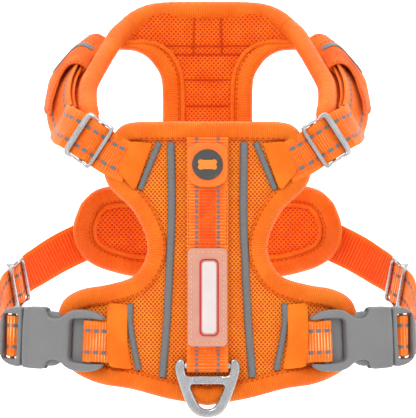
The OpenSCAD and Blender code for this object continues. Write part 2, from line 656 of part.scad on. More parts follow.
// Middle strap on the back, the carrying handle and the back leash ring
back_strap_y = half_depth - 1 + 0.3 + strap_t / 2;
module back_webbing() {
    path = [[0, back_strap_y, 28], [0, back_strap_y, -30], [0, back_strap_y, -80], [0, back_strap_y, -122]];
    color(fabric) loft(strip(path, [for (p = path) [1, 0, 0]], strap_w, strap_t));
}
handle_path = smooth([[0, 0.1, 24], [0, 0.1, 16], [0, 3.5, 9], [0, 14, 2], [0, 20.5, -7], [0, 22, -18],
    [0, 20.5, -29], [0, 14, -38], [0, 3.5, -45], [0, 0.1, -52], [0, 0.1, -60]], 3);
handle_y = back_strap_y + strap_t + 0.3;
module handle_webbing() {
    path = [for (p = handle_path) p + [0, handle_y, 0]];
    color(fabric) loft(strip(path, [for (p = path) [1, 0, 0]], strap_w, strap_t));
}
module handle_grip() {
    path = [for (p = handle_path) p + [0, handle_y, 0]];
    wide = [for (p = path) [1, 0, 0]];
    outer = oval(path, wide, [for (i = [0 : 30]) i == 10 || i == 20 ? 13.8 : 15], [for (i = [0 : 30]) i == 10 || i == 20 ? 4 : 6], 24);
    color(tape) loft_tube(part_of(outer, 10, 20),
        [for (i = [10 : 20]) let (m = cross(heading(path, i), [1, 0, 0]))
            [for (k = [0 : 23]) let (c = cos(k * 15), s = sin(k * 15))
                path[i] + 13.3 * sign(c) * pow(abs(c), 0.2) * [1, 0, 0]
                    + 1.7 * sign(s) * pow(abs(s), 0.2) * m]]);
}
// The back ring hangs in a fold of a short keeper strap
back_ring_bar = [0, back_strap_y + strap_t + 0.2 + fold_r, -92];
module back_ring_keeper() {
    y0 = back_ring_bar[1] - fold_r;
    path = concat([[0, y0, -64], [0, y0, -78], [0, y0, -91]],
        [for (a = [180 : 22.5 : 360]) back_ring_bar + fold_r * [0, cos(a), sin(a)]],
        [[0, back_ring_bar[1] + fold_r, -90.6], [0, y0 + strap_t + 1.4, -80.6], [0, y0 + strap_t + 0.1, -76],
            [0, y0 + strap_t + 0.1, -65]]);
    color(fabric) loft(strip(path, [for (p = path) [1, 0, 0]], strap_w, strap_t));
}
module back_ring() {
    color(metal) translate(back_ring_bar) {
        translate([0, ring_t / 2, 0]) rotate([90, 0, 0]) linear_extrude(height = ring_t) both_sides()
            intersection() {
                translate([0, -30]) square([30, 33]);
                difference() {
                    union() {
                        circle(18.6);
                        translate([0, -1]) square([18.6, 3]);
                    }
                    circle(14.2);
                    translate([0, -1]) square([14.2, 5]);
                }
            }
        translate([-15, 0, 0]) rotate([0, 90, 0]) cylinder(h = 30, r = bar_r);
    }
}

chest_cover();
chest_padding();
chest_lining();
chest_top_binding();
chest_left_binding();
chest_right_binding();
chest_bottom_binding();
chest_inner_piping();
chest_upper_piping();
chest_lower_piping();
chest_upper_patches();
chest_lower_patches();
chest_webbing();
name_patch();
name_plate();
id_flap();
id_disc();
id_icon();
front_ring();
left_shoulder_webbing();
right_shoulder_webbing();
left_shoulder_slide();
right_shoulder_slide();
left_female_webbing();
right_female_webbing();
left_buckle_female();
right_buckle_female();
left_buckle_male();
right_buckle_male();
left_upper_prong();
left_lower_prong();
right_upper_prong();
right_lower_prong();
left_girth_strap();
right_girth_strap();
left_girth_slide();
right_girth_slide();
back_cover();
back_padding();
back_lining();
back_left_binding();
back_right_binding();
back_bottom_binding();
back_piping();
yoke_cover();
yoke_padding();
yoke_lining();
yoke_edge_binding();
collar_roll();
left_sleeve();
right_sleeve();
upper_sleeves();
sleeve_bands();
back_webbing();
handle_webbing();
handle_grip();
back_ring_keeper();
back_ring();
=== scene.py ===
import math

import bpy
import bmesh
import numpy as np
from mathutils import Matrix, Vector
from mathutils.geometry import delaunay_2d_cdt


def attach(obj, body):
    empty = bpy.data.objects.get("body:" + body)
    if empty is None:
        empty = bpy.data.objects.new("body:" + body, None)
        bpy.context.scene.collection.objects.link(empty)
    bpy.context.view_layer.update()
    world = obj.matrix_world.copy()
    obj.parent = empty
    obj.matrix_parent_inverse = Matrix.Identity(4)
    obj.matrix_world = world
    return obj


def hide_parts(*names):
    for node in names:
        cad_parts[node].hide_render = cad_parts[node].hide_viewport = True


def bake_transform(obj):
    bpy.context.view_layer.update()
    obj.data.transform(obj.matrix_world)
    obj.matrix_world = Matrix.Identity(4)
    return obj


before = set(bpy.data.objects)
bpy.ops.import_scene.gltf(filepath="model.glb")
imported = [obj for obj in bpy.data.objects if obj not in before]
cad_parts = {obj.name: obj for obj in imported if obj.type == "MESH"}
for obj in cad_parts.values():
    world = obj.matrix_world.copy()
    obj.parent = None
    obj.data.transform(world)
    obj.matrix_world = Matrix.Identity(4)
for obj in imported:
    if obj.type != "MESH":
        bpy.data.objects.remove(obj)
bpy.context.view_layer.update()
scene = bpy.context.scene

# Everything below is in millimetres, in the model's frame. A mesh is turned into metres when it is made.
MM = 0.001


# ---------------------------------------------------------------- camera

cam_data = bpy.data.cameras.new("camera")
cam_data.sensor_width = 36
cam_data.lens = 215
cam_data.clip_start, cam_data.clip_end = 0.05, 20
cam = bpy.data.objects.new("camera", cam_data)
cam.location = (0.0003, -1.565, -0.09)
cam.rotation_euler = (math.radians(90), 0, 0)
scene.collection.objects.link(cam)
scene.camera = cam
scene.view_settings.view_transform = "Standard"


# ---------------------------------------------------------------- node helpers

def linear(rgb):
    c = np.array(rgb, float) / 255
    c = np.where(c <= 0.04045, c / 12.92, ((c + 0.055) / 1.055) ** 2.4)
    return (*[float(x) for x in c], 1.0)


class Finish:
    """A material with a Principled shader, and short calls for its nodes."""

    def __init__(self, name, rough=0.5, metallic=0.0, sheen=0.0, coat=0.0, specular=0.5, alpha=1.0):
        self.mat = bpy.data.materials.new(name)
        self.mat.use_nodes = True
        self.nodes, self.links = self.mat.node_tree.nodes, self.mat.node_tree.links
        self.bsdf = next(n for n in self.nodes if n.type == "BSDF_PRINCIPLED")
        for socket, value in (("Roughness", rough), ("Metallic", metallic), ("Sheen Weight", sheen),
                ("Coat Weight", coat), ("Specular IOR Level", specular), ("Alpha", alpha)):
            self.bsdf.inputs[socket].default_value = value
        if sheen:
            self.bsdf.inputs["Sheen Roughness"].default_value = 0.45
        self.uv_node = None

    def put(self, socket, value):
        if isinstance(value, bpy.types.NodeSocket):
            self.links.new(value, socket)
        elif value is not None:
            socket.default_value = value

    def math(self, op, a, b=None, c=None, clamp=False):
        n = self.nodes.new("ShaderNodeMath")
        n.operation, n.use_clamp = op, clamp
        for i, v in enumerate((a, b, c)):
            self.put(n.inputs[i], v)
        return n.outputs[0]

    def uv(self):
        """The piece's own coordinates in millimetres: along it and across it."""
        if self.uv_node is None:
            n = self.nodes.new("ShaderNodeUVMap")
            n.uv_map = "UVMap"
            s = self.nodes.new("ShaderNodeSeparateXYZ")
            self.links.new(n.outputs[0], s.inputs[0])
            self.uv_node = (n.outputs[0], s.outputs[0], s.outputs[1])
        return self.uv_node

    def noise(self, scale, detail=2.0, rough=0.5, space="object"):
        """Noise with its features about 1/scale of a millimetre apart, in the piece's place or its uv."""
        n = self.nodes.new("ShaderNodeTexNoise")
        n.inputs["Detail"].default_value, n.inputs["Roughness"].default_value = detail, rough
        if space == "object":
            t = self.nodes.new("ShaderNodeTexCoord")
            self.links.new(t.outputs["Object"], n.inputs["Vector"])
            n.inputs["Scale"].default_value = scale * 1000
        else:
            self.links.new(self.uv()[0], n.inputs["Vector"])
            n.inputs["Scale"].default_value = scale
        return n.outputs["Fac"]

    def ramp(self, x, low, high, to_low=0.0, to_high=1.0):
        n = self.nodes.new("ShaderNodeMapRange")
        n.interpolation_type = "SMOOTHSTEP"
        for i, v in enumerate((x, low, high, to_low, to_high)):
            self.put(n.inputs[i], v)
        return n.outputs[0]

    def mix(self, fac, a, b):
        n = self.nodes.new("ShaderNodeMix")
        n.data_type = "RGBA"
        self.put(n.inputs["Factor"], fac)
        self.put(n.inputs["A"], a)
        self.put(n.inputs["B"], b)
        return n.outputs["Result"]

    def wave(self, x, pitch):
        """0 to 1 and back over each pitch."""
        return self.math("MULTIPLY_ADD", self.math("COSINE",
            self.math("MULTIPLY", x, 2 * math.pi / pitch)), -0.5, 0.5)

    def colour(self, value):
        self.put(self.bsdf.inputs["Base Color"], value)

    def roughness(self, value):
        self.put(self.bsdf.inputs["Roughness"], value)

    def bump(self, height, millimetres, strength=1.0):
        n = self.nodes.new("ShaderNodeBump")
        n.inputs["Strength"].default_value = strength
        n.inputs["Distance"].default_value = millimetres * MM
        self.put(n.inputs["Height"], height)
        self.links.new(n.outputs[0], self.bsdf.inputs["Normal"])


def tape_finish():
    f = Finish("ribbed_tape", rough=0.5, sheen=0.04, specular=0.22)
    _, u, v = f.uv()
    wobble = f.math("MULTIPLY", f.noise(0.35, 2), 1.1)
    rib = f.wave(f.math("ADD", u, wobble), 1.15)
    tone = f.noise(0.06, 3)
    base = f.mix(f.ramp(tone, 0.35, 0.7), linear((250, 116, 6)), linear((255, 134, 22)))
    # The ribs' low grooves get a darker orange: painted shade between the ribs
    f.colour(f.mix(rib, f.mix(0.5, base, linear((226, 74, 0))), base))
    f.roughness(f.ramp(rib, 0, 1, 0.62, 0.42))
    fine = f.noise(2.2, 2)
    f.bump(f.math("ADD", rib, f.math("MULTIPLY", fine, 0.35)), 0.24)
    return f.mat


def mesh_finish(name, cloth, hole, pitch=2.5, open_share=0.17):
    """Knitted air mesh: two sets of holes, one between the other. The holes' darker colour is painted
    shade, and the pale raised threads are painted highlights.
    """
    f = Finish(name, rough=0.72, sheen=0.04, specular=0.22)
    _, u, v = f.uv()
    u2 = f.math("ADD", u, f.math("MULTIPLY", f.noise(0.25, 1), 0.5))
    far = []
    for shift in (0.0, 0.5):
        a = f.math("SUBTRACT", f.math("FRACT", f.math("ADD", f.math("DIVIDE", u2, pitch), shift)), 0.5)
        b = f.math("SUBTRACT", f.math("FRACT", f.math("ADD", f.math("DIVIDE", v, pitch * 1.08), shift)),
            0.5)
        far.append(f.math("SQRT", f.math("ADD", f.math("MULTIPLY", a, a),
            f.math("MULTIPLY", f.math("MULTIPLY", b, b), 1.5))))
    near = f.math("MINIMUM", far[0], far[1])
    solid = f.ramp(near, open_share, open_share + 0.13)
    tone = f.noise(0.09, 3)
    thread = f.noise(1.6, 3, 0.7)
    base = f.mix(f.ramp(tone, 0.3, 0.7), linear(cloth[0]), linear(cloth[1]))
    # cloth[2] is the pale colour of the raised threads: painted highlights
    base = f.mix(f.ramp(thread, 0.42, 0.75, 0, 0.45), base, linear(cloth[2]))
    # hole is the colour inside the holes: painted shade
    f.colour(f.mix(solid, linear(hole), base))
    f.bump(f.math("ADD", f.math("MULTIPLY", f.ramp(near, open_share - 0.08, 0.42), 1.0),
        f.math("MULTIPLY", thread, 0.35)), 0.5)
    return f.mat


def webbing_finish(name, dash_pitch, base_rgb=(250, 104, 8), highlight_rgb=(255, 178, 92), dashes=True,
        ribs=1.7, highlight=0.75, satin=None):
    """Woven strap: ribs across it with painted highlights on their crests, and two rows of grey dashes
    along it.
    """
    f = Finish(name, rough=0.55, sheen=0.04, specular=0.22)
    _, u, v = f.uv()
    side = f.math("ABSOLUTE", v)
    rib = f.wave(u, ribs)
    weave = f.wave(v, 0.9)
    patchy = f.noise(0.07, 2)
    base = f.mix(f.ramp(f.noise(0.5, 3), 0.3, 0.7), linear(base_rgb),
        linear(tuple(min(255, c + 12) for c in base_rgb)))
    # Pale streaks on the ribs' crests, stronger in noisy patches: painted highlights
    highlight_streak = f.math("MULTIPLY", f.ramp(rib, 0.55, 0.95), f.ramp(patchy, 0.35, 0.62, 0.15, highlight))
    if satin:
        # Satin band in the middle: deeper orange, with most of its painted highlights taken away
        flat = f.math("MULTIPLY", f.ramp(side, 4.6, 5.4, 1, 0),
            f.math("MULTIPLY", f.ramp(u, satin[0], satin[0] + 3),
            f.ramp(u, satin[1], satin[1] + 3, 1, 0)))
        highlight_streak = f.math("MULTIPLY", highlight_streak, f.math("SUBTRACT", 1.0, f.math("MULTIPLY", flat, 0.85)))
        base = f.mix(f.math("MULTIPLY", flat, f.ramp(f.noise(0.1, 2), 0.3, 0.7, 0.3, 1)), base,
            linear((236, 72, 0)))
    col = f.mix(highlight_streak, base, linear(highlight_rgb))
    col = f.mix(f.math("MULTIPLY", f.ramp(side, 9.4, 10.4), 0.55), col, linear((255, 132, 34)))
    height = f.math("ADD", rib, f.math("MULTIPLY", weave, 0.3))
    if dashes:
        row = f.ramp(f.math("ABSOLUTE", f.math("SUBTRACT", side, 6.5)), 0.95, 1.15, 1, 0)
        run = f.ramp(f.math("ABSOLUTE", f.math("SUBTRACT",
            f.math("FRACT", f.math("DIVIDE", u, dash_pitch)), 0.5)), 0.27, 0.3, 1, 0)
        dash = f.math("MULTIPLY", row, run)
        col = f.mix(f.math("MULTIPLY", row, 0.4), col, linear((226, 84, 0)))
        col = f.mix(dash, col, f.mix(f.noise(2.4, 2), linear((88, 92, 96)), linear((140, 144, 148))))
        height = f.math("ADD", height, f.math("MULTIPLY", dash, 0.9))
    f.colour(col)
    f.bump(height, 0.24)
    return f.mat


def cloth_finish(name, a, b, pitch=0.55):
    f = Finish(name, rough=0.6, sheen=0.04, specular=0.22)
    _, u, v = f.uv()
    weave = f.math("MULTIPLY", f.wave(u, pitch), f.wave(v, pitch))
    base = f.mix(f.ramp(f.noise(0.05, 3), 0.35, 0.68), linear(a), linear(b))
    f.colour(f.mix(f.math("MULTIPLY", weave, 0.25), base, linear(tuple(int(c * 0.9) for c in a))))
    f.bump(f.math("ADD", weave, f.math("MULTIPLY", f.noise(0.22, 3), 3.0)), 0.14)
    return f.mat


def reflective_finish():
    f = Finish("reflective", rough=0.42, metallic=0.2, specular=0.4)
    _, u, v = f.uv()
    weave = f.math("MULTIPLY", f.wave(u, 0.7), f.wave(v, 0.7))
    f.colour(f.mix(f.noise(0.6, 3), linear((106, 106, 107)), linear((130, 130, 131))))
    f.roughness(f.ramp(f.noise(1.5, 2), 0.3, 0.7, 0.34, 0.5))
    f.bump(f.math("ADD", weave, f.noise(3.0, 2)), 0.1)
    return f.mat


def plastic_finish():
    f = Finish("buckle_plastic", rough=0.46, specular=0.45)
    f.colour(f.mix(f.noise(0.05, 3), linear((120, 120, 121)), linear((134, 134, 135))))
    grain = f.noise(3.2, 3, 0.6)
    f.roughness(f.ramp(f.noise(0.3, 3), 0.3, 0.7, 0.4, 0.52))
    f.bump(grain, 0.05)
    return f.mat


def metal_finish():
    f = Finish("cast_metal", rough=0.22, metallic=1.0)
    f.colour(f.mix(f.noise(0.12, 3), linear((160, 160, 162)), linear((204, 204, 206))))
    f.roughness(f.ramp(f.noise(0.35, 4, 0.65), 0.3, 0.72, 0.2, 0.34))
    f.bump(f.math("ADD", f.noise(0.7, 3), f.math("MULTIPLY", f.noise(4.0, 2), 0.25)), 0.03)
    return f.mat


def rubber_finish(name, a, b, rough=0.55, alpha=1.0, coat=0.0):
    f = Finish(name, rough=rough, alpha=alpha, coat=coat)
    f.colour(f.mix(f.noise(0.15, 3), linear(a), linear(b)))
    f.roughness(f.ramp(f.noise(0.8, 3), 0.3, 0.7, rough - 0.08, rough + 0.1))
    f.bump(f.noise(1.8, 3), 0.06)
    return f.mat


def thread_finish(name, a, b):
    f = Finish(name, rough=0.6, specular=0.2)
    _, u, v = f.uv()
    f.colour(f.mix(f.wave(f.math("ADD", u, v), 0.5), linear(a), linear(b)))
    f.bump(f.wave(f.math("ADD", u, v), 0.5), 0.08)
    return f.mat


TAPE = tape_finish()
# Each mesh gets two cloth tones, a pale colour for the threads' painted highlights, and a darker colour for
# the painted shade in its holes
AIR_MESH = mesh_finish("air_mesh", ((255, 120, 6), (255, 140, 24), (255, 196, 104)), (206, 58, 0))
LINING = mesh_finish("lining_mesh", ((250, 96, 0), (255, 114, 8), (255, 150, 50)), (202, 40, 0),
    pitch=2.9, open_share=0.13)
# highlight sets how strong each strap's painted highlights are
WEB_MIDDLE = webbing_finish("webbing_middle", 3.1, base_rgb=(250, 96, 2), ribs=1.9, highlight=0.6,
    satin=(30, 66))
WEB_SHOULDER = webbing_finish("webbing_shoulder", 5.6, base_rgb=(246, 100, 8), ribs=1.6, highlight=0.4)
WEB_BUCKLE = webbing_finish("webbing_buckle", 4.8, base_rgb=(250, 106, 8), highlight_rgb=(255, 214, 150),
    ribs=1.75, highlight=0.9)
# The girth straps' inner face: darker orange with weak highlights, painted shade; this side has no dashes
WEB_GIRTH_SHADED = webbing_finish("webbing_inner_shaded", 4.8, base_rgb=(255, 80, 0), dashes=False, ribs=2.1, highlight=0.3)
CLOTH = cloth_finish("woven_cloth", (252, 116, 8), (255, 134, 24))
# The sleeves' cloth is a darker copy of the woven cloth: painted shade
SHADED_SLEEVE_CLOTH = cloth_finish("shaded_sleeve_cloth", (246, 98, 2), (255, 122, 18))
GREY_BAND = reflective_finish()
PLASTIC = plastic_finish()
METAL = metal_finish()
FLAP = rubber_finish("flap_rubber", (255, 112, 14), (255, 128, 32), 0.5)
DISC = rubber_finish("disc_rubber", (62, 62, 62), (78, 77, 76), 0.5)
ICON = rubber_finish("icon_rubber", (255, 132, 30), (255, 146, 48), 0.5)
PATCH = rubber_finish("clear_patch", (222, 150, 128), (232, 172, 150), 0.36, alpha=0.86, coat=0.3)
PLATE = rubber_finish("plate_white", (222, 206, 204), (234, 222, 220), 0.4)
FRAME_RED = rubber_finish("plate_frame", (186, 24, 32), (204, 36, 42), 0.4)
THREAD = thread_finish("thread_dark", (206, 50, 0), (228, 74, 0))
THREAD_PALE = thread_finish("thread_pale", (255, 176, 110), (255, 204, 150))

# The record's material slot of each finish; threads have none
SLOTS = {m.name: slot for slot, mats in {"air_mesh": [AIR_MESH, LINING], "binding_tape": [TAPE],
    "webbing": [WEB_MIDDLE, WEB_SHOULDER, WEB_BUCKLE], "shell_fabric": [CLOTH, SHADED_SLEEVE_CLOTH],
    "reflective_tape": [GREY_BAND], "buckle_plastic": [PLASTIC], "polished_metal": [METAL],
    "flap_rubber": [FLAP], "disc_rubber": [DISC], "icon_print": [ICON], "clear_patch": [PATCH],
    "name_plate": [PLATE, FRAME_RED]}.items() for m in mats}


# ---------------------------------------------------------------- shape helpers

def arr(a):
    return np.array(a, float)


def unit(v):
    v = arr(v)
    return v / np.maximum(np.linalg.norm(v, axis=-1, keepdims=True), 1e-9)


def smooth(p, n=5):
    """A smooth line through p with n steps between each two points."""
    p = arr(p)
    out = []
    for i in range(len(p) - 1):
        a, b, c, d = p[max(i - 1, 0)], p[i], p[i + 1], p[min(i + 2, len(p) - 1)]
        for j in range(n):
            t = j / n
            square, cube = 2 * a - 5 * b + 4 * c - d, 3 * b - a - 3 * c + d
            out.append(0.5 * (2 * b + (c - a) * t + square * t * t + cube * t ** 3))
    return np.vstack([out, p[-1:]])


def lengths(p, closed=False):
    q = np.vstack([p, p[:1]]) if closed else p
    return np.concatenate([[0], np.cumsum(np.linalg.norm(np.diff(q, axis=0), axis=1))])


def even(p, step, closed=False, also=None):
    """p with its points a step apart. also is a second array that is carried along."""
    p = arr(p)
    s = lengths(p, closed)
    q = np.vstack([p, p[:1]]) if closed else p
    n = max(3, int(round(s[-1] / step)))
    t = np.linspace(0, s[-1], n + 1)
    t = t[:-1] if closed else t
    out = np.stack([np.interp(t, s, q[:, k]) for k in range(q.shape[1])], 1)
    if also is None:
        return out
    also = arr(also)
    return out, np.stack([np.interp(t, s, also[:, k]) for k in range(also.shape[1])], 1)


def heading(p, closed=False):
    if closed:
        return unit(np.roll(p, -1, 0) - np.roll(p, 1, 0))
    g = np.empty_like(p)
    g[1:-1], g[0], g[-1] = p[2:] - p[:-2], p[1] - p[0], p[-1] - p[-2]
    return unit(g)


def across(p, wide):
    h, wide = heading(p), arr(wide)
    return unit(wide - (wide * h).sum(1, keepdims=True) * h)


def rounded(p, times=3, closed=True):
    """Corners cut again and again, which rounds them."""
    p = arr(p)
    for _ in range(times):
        q = np.roll(p, -1, 0) if closed else p[1:]
        a = p if closed else p[:-1]
        cut = np.stack([0.75 * a + 0.25 * q, 0.25 * a + 0.75 * q], 1).reshape(-1, p.shape[1])
        p = cut if closed else np.vstack([p[:1], cut, p[-1:]])
    return p


def mirrored(p):
    return arr(p) * np.array([-1, 1, 1])[: arr(p).shape[-1]]


def build(name, verts, faces, uvs, mats, body, stands_for=(), slot=None, sharp=50, face_mats=None):
    """A mesh object from points in millimetres, faces, and the uv of each face's corners."""
    mesh = bpy.data.meshes.new(name)
    mesh.from_pydata([tuple(v) for v in arr(verts) * MM], [], [tuple(f) for f in faces])
    layer = mesh.uv_layers.new(name="UVMap")
    layer.data.foreach_set("uv", np.concatenate([arr(u).reshape(-1) for u in uvs]))
    mats = mats if isinstance(mats, (list, tuple)) else [mats]
    for m in mats:
        mesh.materials.append(m)
    if face_mats is not None:
        mesh.polygons.foreach_set("material_index", np.array(face_mats, np.int32))
    mesh.polygons.foreach_set("use_smooth", [True] * len(mesh.polygons))
    obj = bpy.data.objects.new(name, mesh)
    scene.collection.objects.link(obj)
    bm = bmesh.new()
    bm.from_mesh(mesh)
    bmesh.ops.recalc_face_normals(bm, faces=bm.faces)
    bm.to_mesh(mesh)
    bm.free()
    mesh.set_sharp_from_angle(angle=math.radians(sharp))
    if body:
        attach(obj, body)
    if stands_for:
        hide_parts(*stands_for)
    slot = slot or SLOTS.get(mats[0].name)
    return obj


def grid(name, P, mat, body, closed_u=False, closed_v=True, U=None, W=None, caps=True, **kw):
    """A surface through rows of points P[i][j]. U and W are uv along the rows' numbers i and j."""
    P = arr(P)
    n, m = P.shape[:2]
    if U is None:
        mid = P.mean(1)
        U = lengths(mid, closed_u)
    if W is None:
        W = lengths(P[n // 2], closed_v)
    U, W = arr(U), arr(W)
    faces, uvs = [], []
    for i in range(n if closed_u else n - 1):
        i2 = (i + 1) % n
        for j in range(m if closed_v else m - 1):
            j2 = (j + 1) % m
            faces.append((i * m + j, i2 * m + j, i2 * m + j2, i * m + j2))
            uvs.append([(U[i], W[j]), (U[i + 1], W[j]), (U[i + 1], W[j + 1]), (U[i], W[j + 1])])
    if caps and closed_v and not closed_u:
        for i, order in ((0, range(m)), (n - 1, range(m - 1, -1, -1))):
            faces.append([i * m + j for j in order])
            uvs.append([(U[i], W[j]) for j in order])
    return build(name, P.reshape(-1, 3), faces, uvs, mat, body, **kw)


def sweep(path, wide, profile):
    """Rows of points: a closed profile of (across, out) carried along a path. It may differ by row."""
    path = arr(path)
    a = across(path, wide)
    n = unit(np.cross(heading(path), a))
    profile = arr(profile)
    if profile.ndim == 2:
        profile = np.repeat(profile[None], len(path), 0)
    return path[:, None] + a[:, None] * profile[..., :1] + n[:, None] * profile[..., 1:]


def strap_profile(w=25.0, t=1.6):
    """A woven strap's section: flat faces and round edges."""
    h, r = w / 2, t / 2
    turn = [(h - r + r * math.cos(x), r * math.sin(x)) for x in np.linspace(-math.pi / 2, math.pi / 2, 5)]
    flat = np.linspace(h - r, r - h, 9)[1:-1]
    return arr(turn + [(x, r) for x in flat] + [(-a, -b) for a, b in turn] + [(-x, -r) for x in flat])


FACE_END = 16  # a strap section's points before this one are its edges and one face
TO_SLIDE = 0.56  # share of a girth strap's length before its slide


def strap(name, path, wide, mat, body, w=25.0, t=1.6, step=1.6, u0=0.0, inner=None, **kw):
    p, q = even(path, step, also=wide)
    prof = strap_profile(w, t)
    W = np.append(prof[:, 0], prof[0, 0])
    # Faces on one side of a girth strap, before its slide, get the darker finish inner[0]: painted shade
    if inner is not None:
        kinds = [int((j < FACE_END) == inner[1] and i < TO_SLIDE * len(p)) for i in range(len(p) - 1)
            for j in range(len(prof))] + [0, 0]
        mat, kw["face_mats"] = [mat, inner[0]], kinds
    return grid(name, sweep(p, q, prof), mat, body, U=lengths(p) + u0, W=W, **kw)


def far_from(points, seams):
    """Distance from each 2D point to the nearest of the seams' points."""
    out = np.full(len(points), 1e9)
    for k in range(0, len(points), 2000):
        d = points[k:k + 2000, None] - seams[None]
        out[k:k + 2000] = np.sqrt((d ** 2).sum(2).min(1))
    return out


def inside(points, loop):
    x, y = points[:, 0], points[:, 1]
    a, b = loop, np.roll(loop, -1, 0)
    hit = np.zeros(len(points), bool)
    for p, q in zip(a, b):
        c = (p[1] > y) != (q[1] > y)
        with np.errstate(divide="ignore", invalid="ignore"):
            hit ^= c & (x < (q[0] - p[0]) * (y - p[1]) / (q[1] - p[1] + 1e-12) + p[0])
    return hit


def outward(loop):
    """Unit normals of a closed 2D loop, pointing out of it."""
    t = heading(loop, True)
    n = np.stack([t[:, 1], -t[:, 0]], 1)
    area = 0.5 * (loop[:, 0] * np.roll(loop[:, 1], -1) - np.roll(loop[:, 0], -1) * loop[:, 1]).sum()
    return n if area > 0 else -n


def softened_outward(loop):
    """The same normals, evened out round the corners."""
    n = outward(loop)
    for _ in range(6):
        n = unit(np.roll(n, 1, 0) + 2 * n + np.roll(n, -1, 0))
    return n


def kept_run(keep):
    """The numbers of a closed outline's kept points, from the start of the kept stretch."""
    first = int(np.where(keep & ~np.roll(keep, 1))[0][0])
    order = np.roll(np.arange(len(keep)), -first)
    return order[keep[order]]


def plate(name, loops, place, top, low, mat, body, step=1.8, edge=0.0, rim_step=None, mats=None, **kw):
    """A closed piece from a flat outline, loops[0], with holes, loops[1:].

    place(xy, z) puts points in the model. top and low give z from xy and the distance to the outline.
    edge is the width that rounds over.
    """
    rim = rim_step or step
    loops = [even(l, rim, True) for l in loops]
    border = np.vstack(loops)
    fine = np.vstack([even(l, rim / 3, True) for l in loops])
    def within(p):
        ok = inside(p, loops[0])
        for l in loops[1:]:
            ok &= ~inside(p, l)
        return ok
    extra = []
    if edge:
        for k, l in enumerate(loops):
            n = outward(l) * (1 if k == 0 else -1)
            for share in (0.08, 0.28, 0.6, 1.0):
                q = l - n * edge * share
                q = q[within(q)]
                extra.append(q[far_from(q, fine) > 0.93 * edge * share])
    lo, hi = border.min(0), border.max(0)
    gx, gy = np.arange(lo[0], hi[0], step), np.arange(lo[1], hi[1], step * 0.87)
    X, Y = np.meshgrid(gx, gy)
    X = X + (np.arange(len(gy)) % 2)[:, None] * step / 2
    g = np.stack([X.ravel(), Y.ravel()], 1)
    g = g[within(g)]
    g = g[far_from(g, fine) > max(edge * 1.25, rim * 0.7)]
    every = np.vstack([border, *extra, g])
    starts = np.cumsum([0] + [len(l) for l in loops])
    edges = [(int(s + i), int(s + (i + 1) % (e - s))) for s,
        e in zip(starts[:-1], starts[1:]) for i in range(e - s)]
    vs, _, fs, orig, _, _ = delaunay_2d_cdt([Vector(p) for p in every], edges, [], 0, 1e-6)
    P = arr([tuple(v) for v in vs])
    tri = [f for f in fs if len(f) == 3]
    mid = arr([P[list(f)].mean(0) for f in tri])
    tri = [f for f, ok in zip(tri, within(mid)) if ok]
    used = {}
    for f in tri:
        for i in f:
            used.setdefault(i, len(used))
    keep = np.array(sorted(used, key=used.get))
    P = P[keep]
    tri = [tuple(used[i] for i in f) for f in tri]
    d = far_from(P, fine)
    on_border = {}
    for new, old in enumerate(keep):
        for o in orig[old]:
            if o < len(border):
                on_border[o] = new
                d[new] = 0
    zt, zl = top(P, d), low(P, d)
    n = len(P)
    verts = np.vstack([place(P, zt), place(P, zl)])
    area = [np.cross(P[b] - P[a], P[c] - P[a]) for a, b, c in tri]
    tri = [t if s > 0 else (t[0], t[2], t[1]) for t, s in zip(tri, area)]
    faces = list(tri) + [(a + n, c + n, b + n) for a, b, c in tri]
    uvs = [[tuple(P[i]) for i in t] for t in tri] + [[tuple(P[i]) for i in (a, c, b)] for a, b, c in tri]
    kinds = [0] * len(tri) + [min(1, len(mats or [0]) - 1)] * len(tri)
    count = {}
    for a, b, c in tri:
        for e in ((a, b), (b, c), (c, a)):
            count[frozenset(e)] = count.get(frozenset(e), 0) + 1
    for a, b, c in tri:
        for x, y in ((a, b), (b, c), (c, a)):
            if count[frozenset((x, y))] == 1:
                faces.append((y, x, x + n, y + n))
                uvs.append([tuple(P[y]), tuple(P[x]), tuple(P[x] + 0.3), tuple(P[y] + 0.3)])
                kinds.append(0)
    return build(name, verts, faces, uvs, mats or mat, body, face_mats=kinds, **kw)


def round_over(h, r):
    """Half thickness of a plate with its edge rounded with radius r, from the distance to the edge."""
    return lambda d: h - r + np.sqrt(np.maximum(r * r - (r - np.minimum(d, r)) ** 2, 0))


def flat(level):
    return lambda xy, d: 0 * d + level


def crowned(h, r):
    return lambda xy, d: round_over(h, r)(d)


def slab(name, loops, place, h, r, mat, body, **kw):
    """A plate of half thickness h with all its edges rounded with radius r."""
    kw.setdefault("edge", r)
    return plate(name, loops, place, crowned(h, r), lambda xy, d: -round_over(h, r)(d), mat, body, **kw)


def once(side, *nodes):
    """A group of mirrored pieces stands for its nodes once, on the right."""
    return nodes if side == "right" else ()


